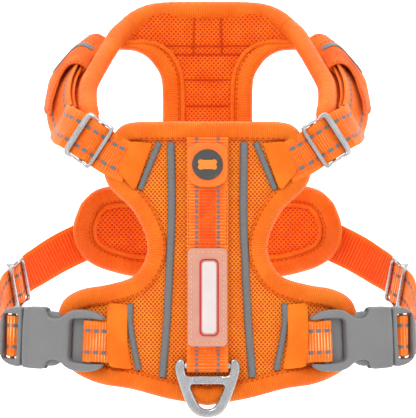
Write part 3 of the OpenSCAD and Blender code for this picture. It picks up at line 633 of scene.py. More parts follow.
def stitches(name, lines, mat, body, pitch=3.0, length=1.9, r=0.3):
    """Rows of stitches. Each line is (points, normals)."""
    verts, faces, uvs = [], [], []
    sides = 6
    for pts, normals in lines:
        pts, nrm = even(pts, 0.4, also=np.broadcast_to(arr(normals), arr(pts).shape))
        s = lengths(pts)
        k = int(s[-1] // pitch)
        for c in (np.arange(k) + 0.5) * s[-1] / max(k, 1):
            i = int(np.argmin(abs(s - c)))
            h = heading(pts)[i]
            n = unit(nrm[i] - (nrm[i] @ h) * h)
            w = np.cross(h, n)
            base = len(verts)
            rows = ((-0.5, 0.05), (-0.4, 0.75), (-0.15, 1), (0.15, 1), (0.4, 0.75), (0.5, 0.05))
            for t, f in rows:
                for a in range(sides):
                    x = 2 * math.pi * a / sides
                    verts.append(pts[i] + h * t * length + (w * math.cos(x) + n * math.sin(x)) * r * f)
            for q in range(len(rows) - 1):
                for a in range(sides):
                    b = (a + 1) % sides
                    f = (base + q * sides + a, base + q * sides + b, base + (q + 1) * sides + b,
                        base + (q + 1) * sides + a)
                    faces.append(f)
                    uvs.append([(q * 0.4, a * 0.3), (q * 0.4, b * 0.3), (q * 0.4 + 0.4, b * 0.3),
                        (q * 0.4 + 0.4, a * 0.3)])
            for q in (0, len(rows) - 1):
                faces.append([base + q * sides + a for a in range(sides)])
                uvs.append([(q * 0.4, a * 0.3) for a in range(sides)])
    return build(name, verts, faces, uvs, mat, body)


# ---------------------------------------------------------------- the two curved panels

CHEST = {"r": 200.0, "axis": 135.0, "side": -1}
BACK = {"r": 110.0, "axis": -45.0, "side": 1}


def on_panel(panel, q, d):
    """Points (x, z) of a panel at depth d from its face."""
    q, d = arr(q), arr(d)
    r = panel["r"] - d
    return np.stack([q[..., 0] + 0 * d, panel["axis"] + panel["side"] * np.sqrt(r * r - q[..., 0] ** 2),
        q[..., 1] + 0 * d], -1)


def panel_normal(panel, p):
    n = arr(p) - np.array([0, panel["axis"], 0])
    n[..., 2] = 0
    return unit(n)


def whole(half):
    """A closed outline from its half at +X, drawn from the top middle to the bottom middle."""
    half = arr(half)
    return np.vstack([half, mirrored(half[1:-1])[::-1]])


chest_half = np.vstack([smooth([[0, -38], [26, -38], [46, -38.5], [54, -42.5], [58, -50]], 4),
    smooth([[58, -50], [62, -64], [59, -76], [45, -90], [37, -105], [36, -118], [44, -131], [60, -136.5],
    [76, -139.5], [87, -146], [92, -158]], 4)[1:], smooth([[92, -158], [91, -174], [83, -187], [66, -195],
    [46, -198], [24, -203.5], [0, -207.6]], 4)[1:]])
back_half = np.vstack([smooth([[0, 42.5], [20, 42.3], [31, 41.6], [40, 39], [48, 34], [55, 27], [59, 20],
    [59.6, 14.6]], 3), smooth([[58, 12.9], [50, 12.8], [45, 12], [38.4, 8.6], [32.9, 2.5], [29.3, -5],
    [28.4, -16], [28.4, -36], [28.8, -54], [33.5, -67], [45, -74.5], [60, -75.5], [72, -79], [80, -87]],
    4), smooth([[80, -87], [84.3, -100], [83.4, -112], [78, -120.8], [70, -126.4], [60, -130], [47, -133],
    [25, -134], [0, -134]], 4)[1:]])
chest_loop = even(whole(chest_half), 1.4, True)
back_loop = even(whole(back_half), 1.4, True)

inner_seam = even(smooth([[22, -50], [21.5, -90], [23, -130], [24.5, -160], [27, -191]], 6), 1.2)
upper_seam = even([[29, -50], [40.6, -78]], 1.2)
lower_seam = even(smooth([[46.4, -147], [46.2, -162], [41.4, -187]], 6), 1.2)

TAPE_W = 10.6
SECTION = [(-TAPE_W, 0.6), (-TAPE_W - 0.15, -0.5), (-TAPE_W + 0.5, -1.3), (-8.2, -2.1), (-5.6, -2.7),
    (-3.2, -2.6), (-1.2, -1.7), (0.1, 0.0), (0.7, 2.0), (0.8, 3.5), (0.7, 5.0), (0.1, 7.0), (-1.2, 8.7),
    (-3.2, 9.6), (-5.6, 9.7), (-8.2, 9.1), (-TAPE_W + 0.5, 8.3), (-TAPE_W - 0.15, 7.5), (-TAPE_W, 6.4),
    (-8, 5.0), (-8, 2.0)]


def binding(name, panel, loop, stands_for, keep=None, narrow=None):
    """Tape folded over a panel's edge."""
    n = softened_outward(loop)
    prof = arr(SECTION)
    pucker = 0.12 * np.sin(lengths(loop)[:, None] * 2 * math.pi / 5.2)
    share = np.ones(len(loop)) if narrow is None else narrow
    q = loop[:, None] + n[:, None] * prof[None, :, :1] * share[:, None, None]
    d = np.repeat(prof[None, :, 1], len(loop), 0) + pucker * np.sign(3.5 - prof[None, :,
        1]) * (abs(prof[None, :, 0]) > 3)
    P = on_panel(panel, q, d)
    keep = np.ones(len(loop), bool) if keep is None else keep
    if keep.all():
        return grid(name, P, TAPE, "vest", closed_u=True, U=lengths(loop, True), stands_for=stands_for)
    order = kept_run(keep)
    return grid(name, P[order], TAPE, "vest", U=lengths(loop[order]), stands_for=stands_for)


def pillow(seams, height, reach=6.5):
    """How far a padded face stands out between its seams."""
    def f(P):
        d = far_from(P, seams)
        h = height(P) if callable(height) else height
        return h * (1 - np.exp(-(d / reach) ** 2))
    return f


def padded_panel(name, panel, loop, seams, height, inner_height, stands_for,
        mats=(AIR_MESH, LINING), inner_seams=()):
    n = softened_outward(loop)
    rim = even(loop - n * TAPE_W, 1.0, True)
    edge = loop - n * 5.5
    edge = edge[inside(edge, loop)]
    edge = edge[far_from(edge, even(loop, 0.6, True)) > 5.0]
    face = pillow(np.vstack([rim, *seams]), height)
    back = pillow(np.vstack([rim, *inner_seams]) if len(inner_seams) else rim, inner_height, 7)
    P = plate(name, [edge], lambda xy, z: on_panel(panel, xy, z), lambda xy, d: 0.2 - face(xy),
        lambda xy, d: 6.8 + back(xy), None, "vest", step=1.7, rim_step=1.6, mats=list(mats),
        stands_for=stands_for, slot="air_mesh")
    return P


def chest_height(P):
    x = abs(P[:, 0])
    return np.where(x < 21, 0.6, 2.3)


chest_seams = [inner_seam, mirrored(inner_seam), upper_seam, mirrored(upper_seam), lower_seam,
    mirrored(lower_seam)]
padded_panel("chest_panel", CHEST, chest_loop, chest_seams, chest_height, 1.6,
    ("chest_cover", "chest_padding", "chest_lining"))
padded_panel("back_panel", BACK, back_loop, [], lambda P: np.where(abs(P[:, 0]) < 16, 0.0, 1.4), 1.8,
    ("back_cover", "back_padding", "back_lining"), mats=(CLOTH, LINING),
    inner_seams=[even(l, 1.0) for l in ([[-36, 10.4], [36, 10.4]], [[-9, -8], [9, -8]],
    [[-9, -24], [9, -24]], [[-9.2, 11], [-8.6, 36]], [[9.2, 11], [8.6, 36]])])
# The back's tape ends under the neck roll, and is narrower near it
back_keep = ~(back_loop[:, 1] > 13.1)
back_share = 1 - 0.62 * np.clip((abs(back_loop[:, 0]) - 34) / 14, 0, 1) * (back_loop[:, 1] > 0)
binding("chest_binding", CHEST, chest_loop, ("chest_top_binding", "chest_left_binding",
    "chest_right_binding", "chest_bottom_binding"))
binding("back_binding", BACK, back_loop, ("back_left_binding", "back_right_binding",
    "back_bottom_binding"), back_keep, back_share)


# A thin cord along the tape's inner edge, inside the back
line = (back_loop - softened_outward(back_loop) * 12.2 * back_share[:, None])[kept_run(back_keep)]
cord_path = on_panel(BACK, line, np.full(len(line), 7.6))
circle = np.linspace(0, 2 * math.pi, 13)[:-1]
grid("back_inner_cord", sweep(cord_path, panel_normal(BACK, cord_path),
    np.stack([1.5 * np.cos(circle), 1.7 * np.sin(circle)], 1)), TAPE, "vest", U=lengths(line))


# Reflective strips in the seams
def piping(name, line, panel, w, stands_for, high=1.9):
    """A grey strip along a line of a panel, and its mirror image."""
    half = [(w / 2 * math.cos(a), high * math.sin(a) ** 0.7) for a in np.linspace(0, math.pi, 9)]
    prof = arr(half + [(-w / 2, -0.8), (w / 2, -0.8)])
    made = []
    for q in (line, mirrored(line)):
        p = on_panel(panel, q, np.zeros(len(q)))
        out = panel_normal(panel, p)
        wide = np.cross(out, heading(p))
        facing_in = (np.cross(heading(p), across(p, wide)) * out).sum(1).mean() < 0
        P = sweep(p, -wide if facing_in else wide, prof)
        made.append(grid(f"{name}_{len(made)}", P, GREY_BAND, "vest", U=lengths(p)))
    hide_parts(*stands_for)


piping("inner_piping", inner_seam, CHEST, 4.8, ("chest_inner_piping",))
piping("upper_piping", upper_seam, CHEST, 3.9, ("chest_upper_piping",))
piping("lower_piping", lower_seam, CHEST, 3.9, ("chest_lower_piping",))
piping("back_piping", even(smooth([[15, 24], [15, 0], [15, -40], [18, -80], [24, -118]], 6), 1.4), BACK,
    3.4, ("back_piping",), high=1.3)


# Patches over the straps' ends
def cloth_patch(name, outline, height, stands_for):
    out = rounded(even(outline, 2.6, True), 2)
    return plate(name, [out], lambda xy, z: on_panel(CHEST, xy, z),
        lambda xy, d: -height(xy) - 0.5 + 0.45 * np.exp(-(d / 0.5) ** 2), lambda xy, d: -height(xy) + 0.3,
        CLOTH, "vest", step=1.5, rim_step=0.9, stands_for=stands_for)


def upper_lift(xy):
    x = abs(xy[:, 0])
    return 1.3 + np.clip((x - 36) / 14, 0, 1) * 2.9


def lower_lift(xy):
    x, z = abs(xy[:, 0]), xy[:, 1]
    f = np.clip((-150 - z) / 9, 0, 1)
    return 1.2 + np.clip((x - 46.5), 0, 20) * 0.42 * f


for side, s in (("right", 1), ("left", -1)):
    cloth_patch(f"{side}_upper_patch", arr([[33.2, -50.4], [46, -49.2], [54.2, -67], [44.6, -78.6],
        [42.8, -77.2]]) * [s, 1], upper_lift, once(side, "chest_upper_patches"))
    cloth_patch(f"{side}_lower_patch", arr([[48.2, -147.6], [60.4, -146.6], [60.8, -166], [59.4, -185],
        [45.4, -187], [48.4, -170]]) * [s, 1], lower_lift, once(side, "chest_lower_patches"))


# ---------------------------------------------------------------- middle strap with its patch and flap

FACE_Y = -65.0
TAIL_Y = FACE_Y - 0.5 - 0.8
STRAP_Y = TAIL_Y - 1.7
LOOP_R = 3.25  # a strap's middle line round a ring's bar
BAR = arr([0, TAIL_Y - LOOP_R, -184])
turn = [BAR + LOOP_R * arr([0, -math.cos(a), -math.sin(a)]) for a in np.linspace(0, math.pi, 13)]
middle = np.vstack([smooth([[0, STRAP_Y + 1.6, -47], [0, STRAP_Y, -54], [0, STRAP_Y - 0.1, -90],
    [0, STRAP_Y, -130], [0, STRAP_Y, -172], [0, STRAP_Y - 1.9, -177.4], [0, BAR[1] - LOOP_R, -182.4]], 8),
    turn, [[0, TAIL_Y, -182], [0, TAIL_Y, -160]]])
strap("middle_strap", middle, [[-1, 0, 0]] * len(middle), WEB_MIDDLE, "vest", stands_for=("chest_webbing",))


def facing(y0):
    """Places flat (x, z) shapes on the front, z being how far they stand out from y0."""
    return lambda xy, z: np.stack([xy[:, 0], y0 - z, xy[:, 1]], 1)


def box_loop(w, h, r, c=(0, 0), n=8):
    pts = []
    for cx, cy, a0 in ((w / 2 - r, h / 2 - r, 0), (r - w / 2, h / 2 - r, 90), (r - w / 2, r - h / 2, 180),
            (w / 2 - r, r - h / 2, 270)):
        for a in np.linspace(math.radians(a0), math.radians(a0 + 90), n):
            pts.append((c[0] + cx + r * math.cos(a), c[1] + cy + r * math.sin(a)))
    return arr(pts)


PATCH_Y = STRAP_Y - 0.8
rim_shape = round_over(1.0, 0.8)
plate("name_patch_piece", [box_loop(23.6, 59, 3.2, (0, -143))], facing(PATCH_Y - 0.15),
    lambda xy, d: 1.0 + rim_shape(d) * 0.8 - 0.35 * np.exp(-((d - 2.4) / 0.7) ** 2), flat(0), PATCH,
    "vest", step=1.4, edge=0.8, rim_step=0.6, stands_for=("name_patch",))
plate("name_plate_piece", [box_loop(8.4, 43, 2.2, (1.0, -143))], facing(PATCH_Y - 1.9), crowned(0.5, 0.4),
    flat(-0.2), PLATE, "vest", step=1.4, edge=0.4, rim_step=0.6, stands_for=("name_plate",))
plate("name_plate_frame", [box_loop(11.6, 46.4, 3.0, (1.0, -143)), box_loop(9.8, 44.6, 2.4, (1.0, -143))],
    facing(PATCH_Y - 1.85), flat(0.4), flat(-0.2), FRAME_RED, "vest", step=0.8, rim_step=0.6)
loop = box_loop(19.4, 54.6, 2.2, (0, -143))
loop = np.vstack([loop, loop[:1]])
stitches("patch_stitches", [(facing(PATCH_Y - 1.72)(loop, 0 * loop[:, 0]), [0, -1, 0])], THREAD_PALE,
    "vest", pitch=3.0, length=2.0, r=0.3)

FLAP_Y = PATCH_Y - 2.05
flap_outline = rounded([[-11.9, -50.2], [11.9, -50.2], [11.9, -61], [11.9, -72.2], [7.6, -76.2],
    [0, -77.2], [-7.6, -76.2], [-11.9, -72.2], [-11.9, -61]], 3)
plate("id_flap_piece", [flap_outline], facing(FLAP_Y),
    lambda xy, d: round_over(1.0, 0.7)(d) + 0.25 * np.exp(-((xy[:, 1] + 52) / 1.6) ** 2),
    lambda xy, d: -round_over(1.0, 0.7)(d), FLAP, "id_flap", step=1.4, edge=0.7, rim_step=0.6,
    stands_for=("id_flap",))
disc_angles = np.linspace(0, 2 * math.pi, 72)[:-1]
ring_loop = arr([(9.2 * math.cos(a), -63.4 + 9.2 * math.sin(a)) for a in disc_angles])
plate("id_disc_piece", [ring_loop], facing(FLAP_Y - 1.0),
    lambda xy, d: 0.9 + 0.45 * np.exp(-((d - 0.6) / 0.45) ** 2) - 0.5 * np.exp(-(d / 0.2) ** 2),
    flat(-0.2), DISC, "id_flap", step=0.7, edge=0.9, rim_step=0.6, stands_for=("id_disc",))
bone = []
for cx, cy, a0, a1 in ((4.0, 1.45, -60, 130), (-4.0, 1.45, 50, 240), (-4.0, -1.45, 120, 310),
        (4.0, -1.45, -130, 60)):
    for a in np.linspace(math.radians(a0), math.radians(a1), 12):
        bone.append((cx + 1.75 * math.cos(a), -63.4 + cy + 1.75 * math.sin(a)))
plate("id_icon_piece", [arr(bone)], facing(FLAP_Y - 1.8), crowned(0.7, 0.4), flat(-0.2), ICON, "id_flap",
    step=0.6, edge=0.4, rim_step=0.35, stands_for=("id_icon",))


# ---------------------------------------------------------------- hardware

def placement(origin, ax, ay, az):
    o, ax, ay, az = arr(origin), arr(ax), arr(ay), arr(az)
    return lambda xy, z: o + xy[:, :1] * ax + xy[:, 1:2] * ay + np.asarray(z)[:, None] * az


def rod(name, a, b, r, mat, body, **kw):
    """A round bar with rounded ends."""
    a, b = arr(a), arr(b)
    h = unit(b - a)
    side = unit(np.cross(h, [0.31, 0.2, 0.93]))
    up = np.cross(h, side)
    rows = [(0, 0.05), (0.15 * r, 0.6), (0.5 * r, 0.9), (r, 1)]
    L = np.linalg.norm(b - a)
    rows = rows + [(L - x, f) for x, f in rows[::-1]]
    ang = np.linspace(0, 2 * math.pi, 25)[:-1]
    P = arr([[a + h * x + r * f * (side * math.cos(t) + up * math.sin(t)) for t in ang] for x, f in rows])
    return grid(name, P, mat, body, **kw)


# Front leash ring
ring_half = [(0, -30.8), (4, -30.5), (7.4, -29.2), (10.2, -26.6), (12.4, -23), (14.8, -17.4), (17.6, -10),
    (19.2, -4), (19.6, -0.6), (19, 2), (17.4, 4), (15.4, 4.5), (13.8, 3.4), (13.2, 1.4), (13.2, -4.4),
    (12.2, -5.6), (9, -5.9), (0, -5.9)]
ring_out = rounded(np.vstack([ring_half, mirrored(ring_half[1:-1])[::-1]]), 2)
hole_half = [(0, -26), (2.4, -25.6), (4.6, -24), (6.4, -21), (8.6, -16.4), (10.2, -12.6), (9.6, -11.2),
    (8, -11), (0, -11)]
ring_hole = rounded(np.vstack([hole_half, mirrored(hole_half[1:-1])[::-1]]), 2)
edge_h = round_over(2.3, 1.7)


def ring_z(xy, d):
    dent = 0.75 * np.exp(-((xy[:, 1] + 8.4) / 1.9) ** 4) * (abs(xy[:,
        0]) < 9.6) * np.clip((9.6 - abs(xy[:, 0])) / 1.2, 0, 1)
    return edge_h(d) - dent * (d > 0.3)


plate("front_ring_body", [ring_out, ring_hole], placement(BAR, [1, 0, 0], [0, 0, 1], [0, -1, 0]), ring_z,
    lambda xy, d: -edge_h(d), METAL, "front_ring", step=1.0, edge=1.7, rim_step=0.7,
    stands_for=("front_ring",), sharp=70)
rod("front_ring_bar", BAR - [15, 0, 0], BAR + [15, 0, 0], 2.1, METAL, "front_ring")


def slide_piece(side, which, centre, t, n, node, web):
    """Three-bar slide: polished frame, middle bar behind the strap, and the strap bulging between them."""
    x = unit(t)
    z = unit(arr(n) - (arr(n) @ x) * x)
    y = np.cross(z, x)
    at = placement(centre, x, y, z)
    w = 14.75
    e = 11.2 if which == "shoulder" else 10.2
    out = rounded([(-9.8, -w), (-5.4, -w - 0.3), (-3.4, -w + 1.2), (3.4, -w + 1.2), (5.4, -w - 0.3),
        (e, -w), (e, 0), (e, w), (5.4, w + 0.3), (3.4, w - 1.2), (-3.4, w - 1.2), (-5.4, w + 0.3),
        (-9.8, w), (-9.8, 0)], 3)
    hole = box_loop(14.6, 25.6, 1.8)
    slab(f"{side}_{which}_slide_frame", [out, hole], lambda xy, q: at(xy, q + 2.45), 1.35, 1.2, METAL,
        node, step=0.9, edge=1.5, rim_step=0.6, stands_for=(node,), sharp=70)
    for k in (-1, 1):
        leg = box_loop(6.4, 1.5, 0.7)
        plate(f"{side}_{which}_slide_leg_{'ab'[k > 0]}", [leg + [0, k * 13.6]], at, flat(2.2), flat(-3.2),
            METAL, node, step=0.6, rim_step=0.5)
    c = arr(centre) - z * 2.5
    rod(f"{side}_{which}_slide_bar", c - y * 14.3, c + y * 14.3, 1.4, METAL, node)
    xs = np.linspace(-6.5, 6.9, 15)
    lift = 2.6 * np.cos(xs / 6.9 * math.pi / 2) ** 1.3 + 0.35
    path = arr(centre) + xs[:, None] * x + lift[:, None] * z
    strap(f"{side}_{which}_strap_bulge", path, [y] * 15, web, node, w=24.6, t=1.5, step=0.9, u0=2.0)


slide_t = unit([0.802, 0.301, 0.516])
slide_w = arr([0.54, 0, -0.8415])
slide_n = np.cross(slide_w, slide_t)
slide_c = arr([70.6, -55, -49.2])
girth_t = unit([0.35, -0.86, -0.37])
girth_w = unit([-0.13, 0.33, -0.935])
girth_n = np.cross(girth_t, girth_w)
girth_c = arr([120.4, 8, -137])

# Buckles
buckle_c = arr([94.2, -50.3, -168.6])
c22, s22, c2, s2 = (math.cos(math.radians(22)), math.sin(math.radians(22)), math.cos(math.radians(2.5)),
    math.sin(math.radians(2.5)))
BX, BY, BZ = arr([c2 * c22, c2 * s22, s2]), arr([-s2 * c22, -s2 * s22, c2]), arr([s22, -c22, 0])


def from_buckle(p):
    p = arr(p)
    return buckle_c + p[..., 0:1] * BX + p[..., 1:2] * BY + p[..., 2:3] * BZ


def mirror_place(place):
    return lambda xy, z: mirrored(place(xy, z))


buckle_at = placement(buckle_c, BX, BY, BZ)
HW, HL, MX = 18.8, 34.5, 18.5


def ease(x, a, b):
    t = np.clip((x - a) / (b - a), 0, 1)
    return t * t * (3 - 2 * t)


female_half = [(MX, HW - 1.4), (MX - 1, HW - 0.3), (12, HW), (5.5, HW), (3.8, HW - 0.5), (2.6, HW - 3.4),
    (1, HW - 5.6), (-2.2, HW - 6.4), (-6, HW - 5.8), (-8.6, HW - 4), (-11.4, HW - 1.6), (-16, HW - 0.1),
    (-22, HW), (-28, HW - 0.7), (-32.5, HW - 2.8), (-HL, HW - 4.6), (-HL + 0.4, HW - 5.6),
    (-30, HW - 5.4), (-26.8, HW - 5.2), (-14.4, HW - 5.6), (-12.8, HW - 6.8), (-12.2, HW - 9), (-12.2, 0)]
female_out = np.vstack([female_half, arr(female_half)[::-1][1:] * [1, -1]])
female_out = rounded(female_out, 2)


def female_z(xy, d):
    x, y = xy[:, 0], abs(xy[:, 1])
    h = 3.3 + 1.7 * ease(x, -17, -4)
    h = h - 0.5 * ease(y, 9, 19)
    groove = 0.45 * np.exp(-((x - 14.2) / 0.55) ** 2)
    r = 1.7
    return h - r + np.sqrt(np.maximum(r * r - (r - np.minimum(d, r)) ** 2, 0)) - groove * (d > 0.5)


male_out = rounded([(MX + 0.4, -HW + 1.8), (MX + 2, -HW + 0.6), (24, -HW + 0.7), (28.5, -HW + 1.8),
    (32.5, -HW + 4.6), (34.1, -HW + 9), (HL, -4), (HL, 4), (34.1, HW - 9), (32.5, HW - 4.6),
    (28.5, HW - 1.8), (24, HW - 0.7), (MX + 2, HW - 0.6), (MX + 0.4, HW - 1.8)], 2)
male_hole = box_loop(9.8, 27.4, 1.2, (27.1, 0))
ROOT = arr([9.4, 8.6])


def arc(centre, r, a0, a1, n=12):
    t = np.radians(np.linspace(a0, a1, n))
    return arr(centre) + r * np.stack([np.cos(t), np.sin(t)], 1)


# a prong with its round knuckle, and the root with the recess that the knuckle turns in
prong_half = np.vstack([arc(ROOT, 1.8, -115, 100), rounded([(8.4, 10.5), (5.6, 11.2), (4.4, 12.6),
    (3.9, 15), (2.6, 16.4), (0, 16.7), (-3, 16.2), (-5.8, 14.2), (-7, 11.6), (-6.4, 9.8), (-4.4, 9.3),
    (-1, 9.0), (4, 7.8), (8.2, 7.2)], 1)[2:-2]])
root_half = np.vstack([[[20.3, 5.6], [10.1, 5.6]], arc(ROOT, 2.1, -70, 70), [[10.1, 11.6], [20.3, 11.6]]])
POCKET = 2.5
female_front = female_out[female_out[:, 0] > -8]

for side in ("right", "left"):
    put = buckle_at if side == "right" else mirror_place(buckle_at)
    m = arr if side == "right" else mirrored
    male_body = f"{side}_buckle_half"
    plate(f"{side}_female_buckle", [female_out], put, female_z,
        lambda xy, d: np.where(xy[:, 0] > -8, POCKET, -female_z(xy, d)), PLASTIC, "vest", step=1.1,
        edge=1.7, rim_step=0.8, stands_for=(f"{side}_buckle_female",), sharp=70)
    plate(f"{side}_female_under", [female_front], put, flat(-POCKET), lambda xy, d: -female_z(xy, d),
        PLASTIC, "vest", step=1.1, edge=1.7, rim_step=0.8, sharp=70)
    for k, word in ((1, "upper"), (-1, "lower")):
        plate(f"{side}_{word}_female_wall", [box_loop(13.2, 5.4, 0.5, (11.6, k * 15.5))], put,
            flat(POCKET + 0.1), flat(-POCKET - 0.1), PLASTIC, "vest", step=1.4, rim_step=0.8)
    plate(f"{side}_female_floor", [box_loop(9.5, 27.6, 1.0, (-16.4, 0))], put,
        lambda xy, d: 0 * d - 1.9 - 0.06 * (-12 - xy[:, 0]) ** 1.3 * (xy[:, 0] < -12), flat(-3.1),
        PLASTIC, "vest", step=1.4, rim_step=0.8)
    rod(f"{side}_female_bar", m(from_buckle([-24.4, -HW + 4, -0.8])),
        m(from_buckle([-24.4, HW - 4, -0.8])), 2.0, PLASTIC, "vest")
    slab(f"{side}_male_buckle", [male_out, male_hole], put, 4.2, 1.5, PLASTIC, male_body, step=1.1,
        rim_step=0.8, stands_for=(f"{side}_buckle_male",), sharp=70)
    tongue = box_loop(22, 6.2, 1.2, (8.5, 0))
    slab(f"{side}_male_tongue", [tongue], put, 2.0, 0.8, PLASTIC, male_body, step=1.2, rim_step=0.8)
    for k, word in ((1, "upper"), (-1, "lower")):
        root = (root_half * [1, k])[::k]
        slab(f"{side}_{word}_prong_root", [root], put, 2.0, 0.6, PLASTIC, male_body, step=1.2,
            rim_step=0.8)
        pr = (prong_half * [1, k])[::k]
        slab(f"{side}_{word}_prong_piece", [pr], put, 2.0, 0.6, PLASTIC, f"{side}_{word}_prong", step=0.9,
            rim_step=0.6, stands_for=(f"{side}_{word}_prong",), sharp=70)
    rod(f"{side}_male_bar", m(from_buckle([27, -14.2, -1.2])), m(from_buckle([27, 14.2, -1.2])), 1.5,
        PLASTIC, male_body)

    # straps to the buckle
    lr = 2 + 0.35 + 0.8
    fp = np.vstack([[[-44.4, 0, -6.9], [-42.4, 0, -6.2], [-39, 0, -4.6], [-36, 0, -3], [-30, 0, 0.6]],
        [arr([-24.4, 0, -0.8]) + lr * arr([math.cos(math.radians(a)), 0,
        math.sin(math.radians(a))]) for a in range(110, -91, -20)], [[-28, 0, -4.4], [-33, 0, -5.6]]])
    fp = m(from_buckle(fp))
    strap(f"{side}_female_strap", fp, [m(BY)] * len(fp), WEB_BUCKLE, "vest", step=0.9,
        stands_for=(f"{side}_female_webbing",))

    # girth strap from the back panel to the sliding half
    gb = [[40, 60.3, -96.5], [56, 52.8, -101], [70, 43.3, -106.5], [82, 34.5, -112], [95, 30.5, -118.5],
        [107, 26, -126], girth_c - 15 * girth_t, girth_c]
    gbw = [[-0.22, 0.1, -0.95], [-0.22, 0.1, -0.95], [-0.25, 0.15, -0.94], [-0.28, 0.2, -0.93],
        [-0.24, 0.25, -0.94], [-0.16, 0.3, -0.94], girth_w, girth_w]
    gf = [girth_c + girth_t, girth_c + 15 * girth_t, [127.6, -14, -148.5],
        [128.4, -23.5, -158.5]] + [list(from_buckle(p)) for p in ([38.4, 0, -7.4], [34.4, 0, -6.5],
        [31.2, 0, -5.9])]
    gfw = [girth_w, girth_w, [-0.1, 0.5, -0.86], [-0.06, 0.45, -0.9], [-0.02, 0.08, -1], [0, 0, -1],
        [0, 0, -1]]
    mt = [from_buckle(arr([26.6, 0, -1.0]) + 3.5 * arr([math.cos(math.radians(a)), 0,
        math.sin(math.radians(a))])) for a in range(-60, 211, 20)]
    tl = [from_buckle(p) for p in ([25.8, 0, -6.8], [28.4, 0, -8], [34, 0, -8.6], [37.4, 0, -9.4])]
    gp = np.vstack([smooth(gb, 6), smooth(gf, 6), mt, tl])
    gw = np.vstack([smooth(gbw, 6), smooth(gfw, 6), [[0, 0, -1]] * (len(mt) + len(tl))])
    girth = strap(f"{side}_girth_piece", m(gp), m(gw), WEB_BUCKLE, None, step=1.3,
        inner=(WEB_GIRTH_SHADED, side == "left"), stands_for=(f"{side}_girth_strap",))
    tuple(m([84, 33, -113]) * MM)
    tuple(m([112, 24, -129]) * MM)
    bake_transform(girth)
    slide_piece(side, "girth", m(girth_c), m(girth_t), m(-girth_n), f"{side}_girth_slide", WEB_BUCKLE)
    slide_piece(side, "shoulder", m(slide_c), m(slide_t), m(slide_n), f"{side}_shoulder_slide",
        WEB_SHOULDER)


# ---------------------------------------------------------------- yoke, neck roll and sleeves

FINE = 3
roll_side = [[52, 48.5, 27.2], [58, 40, 21], [61.8, 31.3, 14], [66, 20, 6], [69.4, 8.7, -2.4],
    [72.6, -7.2, -13.9], [72.2, -22.2, -24.8], [70.4, -31.5, -32], [69.4, -36, -36]]
roll_back = [[0, 61.5, 38.8], [20, 61, 38.6], [30, 59.6, 38], [38.5, 57, 36.3], [46, 52.8, 32.4],
    [52, 48.5, 27.2]]
roll_pts = smooth(roll_side, 3 * FINE)
yoke_w = smooth([[0.45, 0.42, -0.8], [0.55, 0.42, -0.74], [0.62, 0.45, -0.66], [0.66, 0.46, -0.62],
    [0.66, 0.46, -0.62], [0.62, 0.45, -0.66], [0.54, 0.42, -0.74], [0.46, 0.4, -0.8], [0.44, 0.4, -0.82]],
    3 * FINE)
yoke_l = smooth([[20.0], [25], [31], [36], [38], [36], [32], [26], [21]], 3 * FINE)[:, 0]
head = heading(roll_pts)
wid = across(roll_pts, yoke_w)
nor = np.cross(head, wid)
ROLL_R, HALF_YOKE = 5.8, 3.8


def yoke_point(i, l, d):
    """i counts in the part's own steps."""
    x = min(max(i * FINE, 0), len(roll_pts) - 1.001)
    k, f = int(x), x - int(x)
    at = lambda q: q[k] * (1 - f) + q[k + 1] * f
    return at(roll_pts) + l * at(wid) + d * at(nor)


half_roll = np.vstack([smooth(roll_back, 8)[:-1], roll_pts])
half_roll[:, 0] += 1.7 * np.clip((2 - half_roll[:, 2]) / 14, 0, 1)
roll_path = even(np.vstack([mirrored(half_roll)[::-1][:-1], half_roll]), 1.6)
ang = np.linspace(0, 2 * math.pi, 25)[:-1]
ends = np.minimum(np.arange(len(roll_path)), np.arange(len(roll_path))[::-1])
swell = ROLL_R * (0.8 + 0.2 * np.minimum(1,
    ends / 5)) + 0.1 * np.sin(np.arange(len(roll_path)) * 1.9) + 0.6 * np.clip((roll_path[:,
    2] - 15) / 15, 0, 1)
prof = np.stack([np.cos(ang), np.sin(ang)], 1)[None] * swell[:, None, None]
roll = grid("neck_roll", sweep(roll_path, [[0, 0.6, -0.8]] * len(roll_path), prof), TAPE, "vest",
    U=lengths(roll_path), stands_for=("collar_roll",))

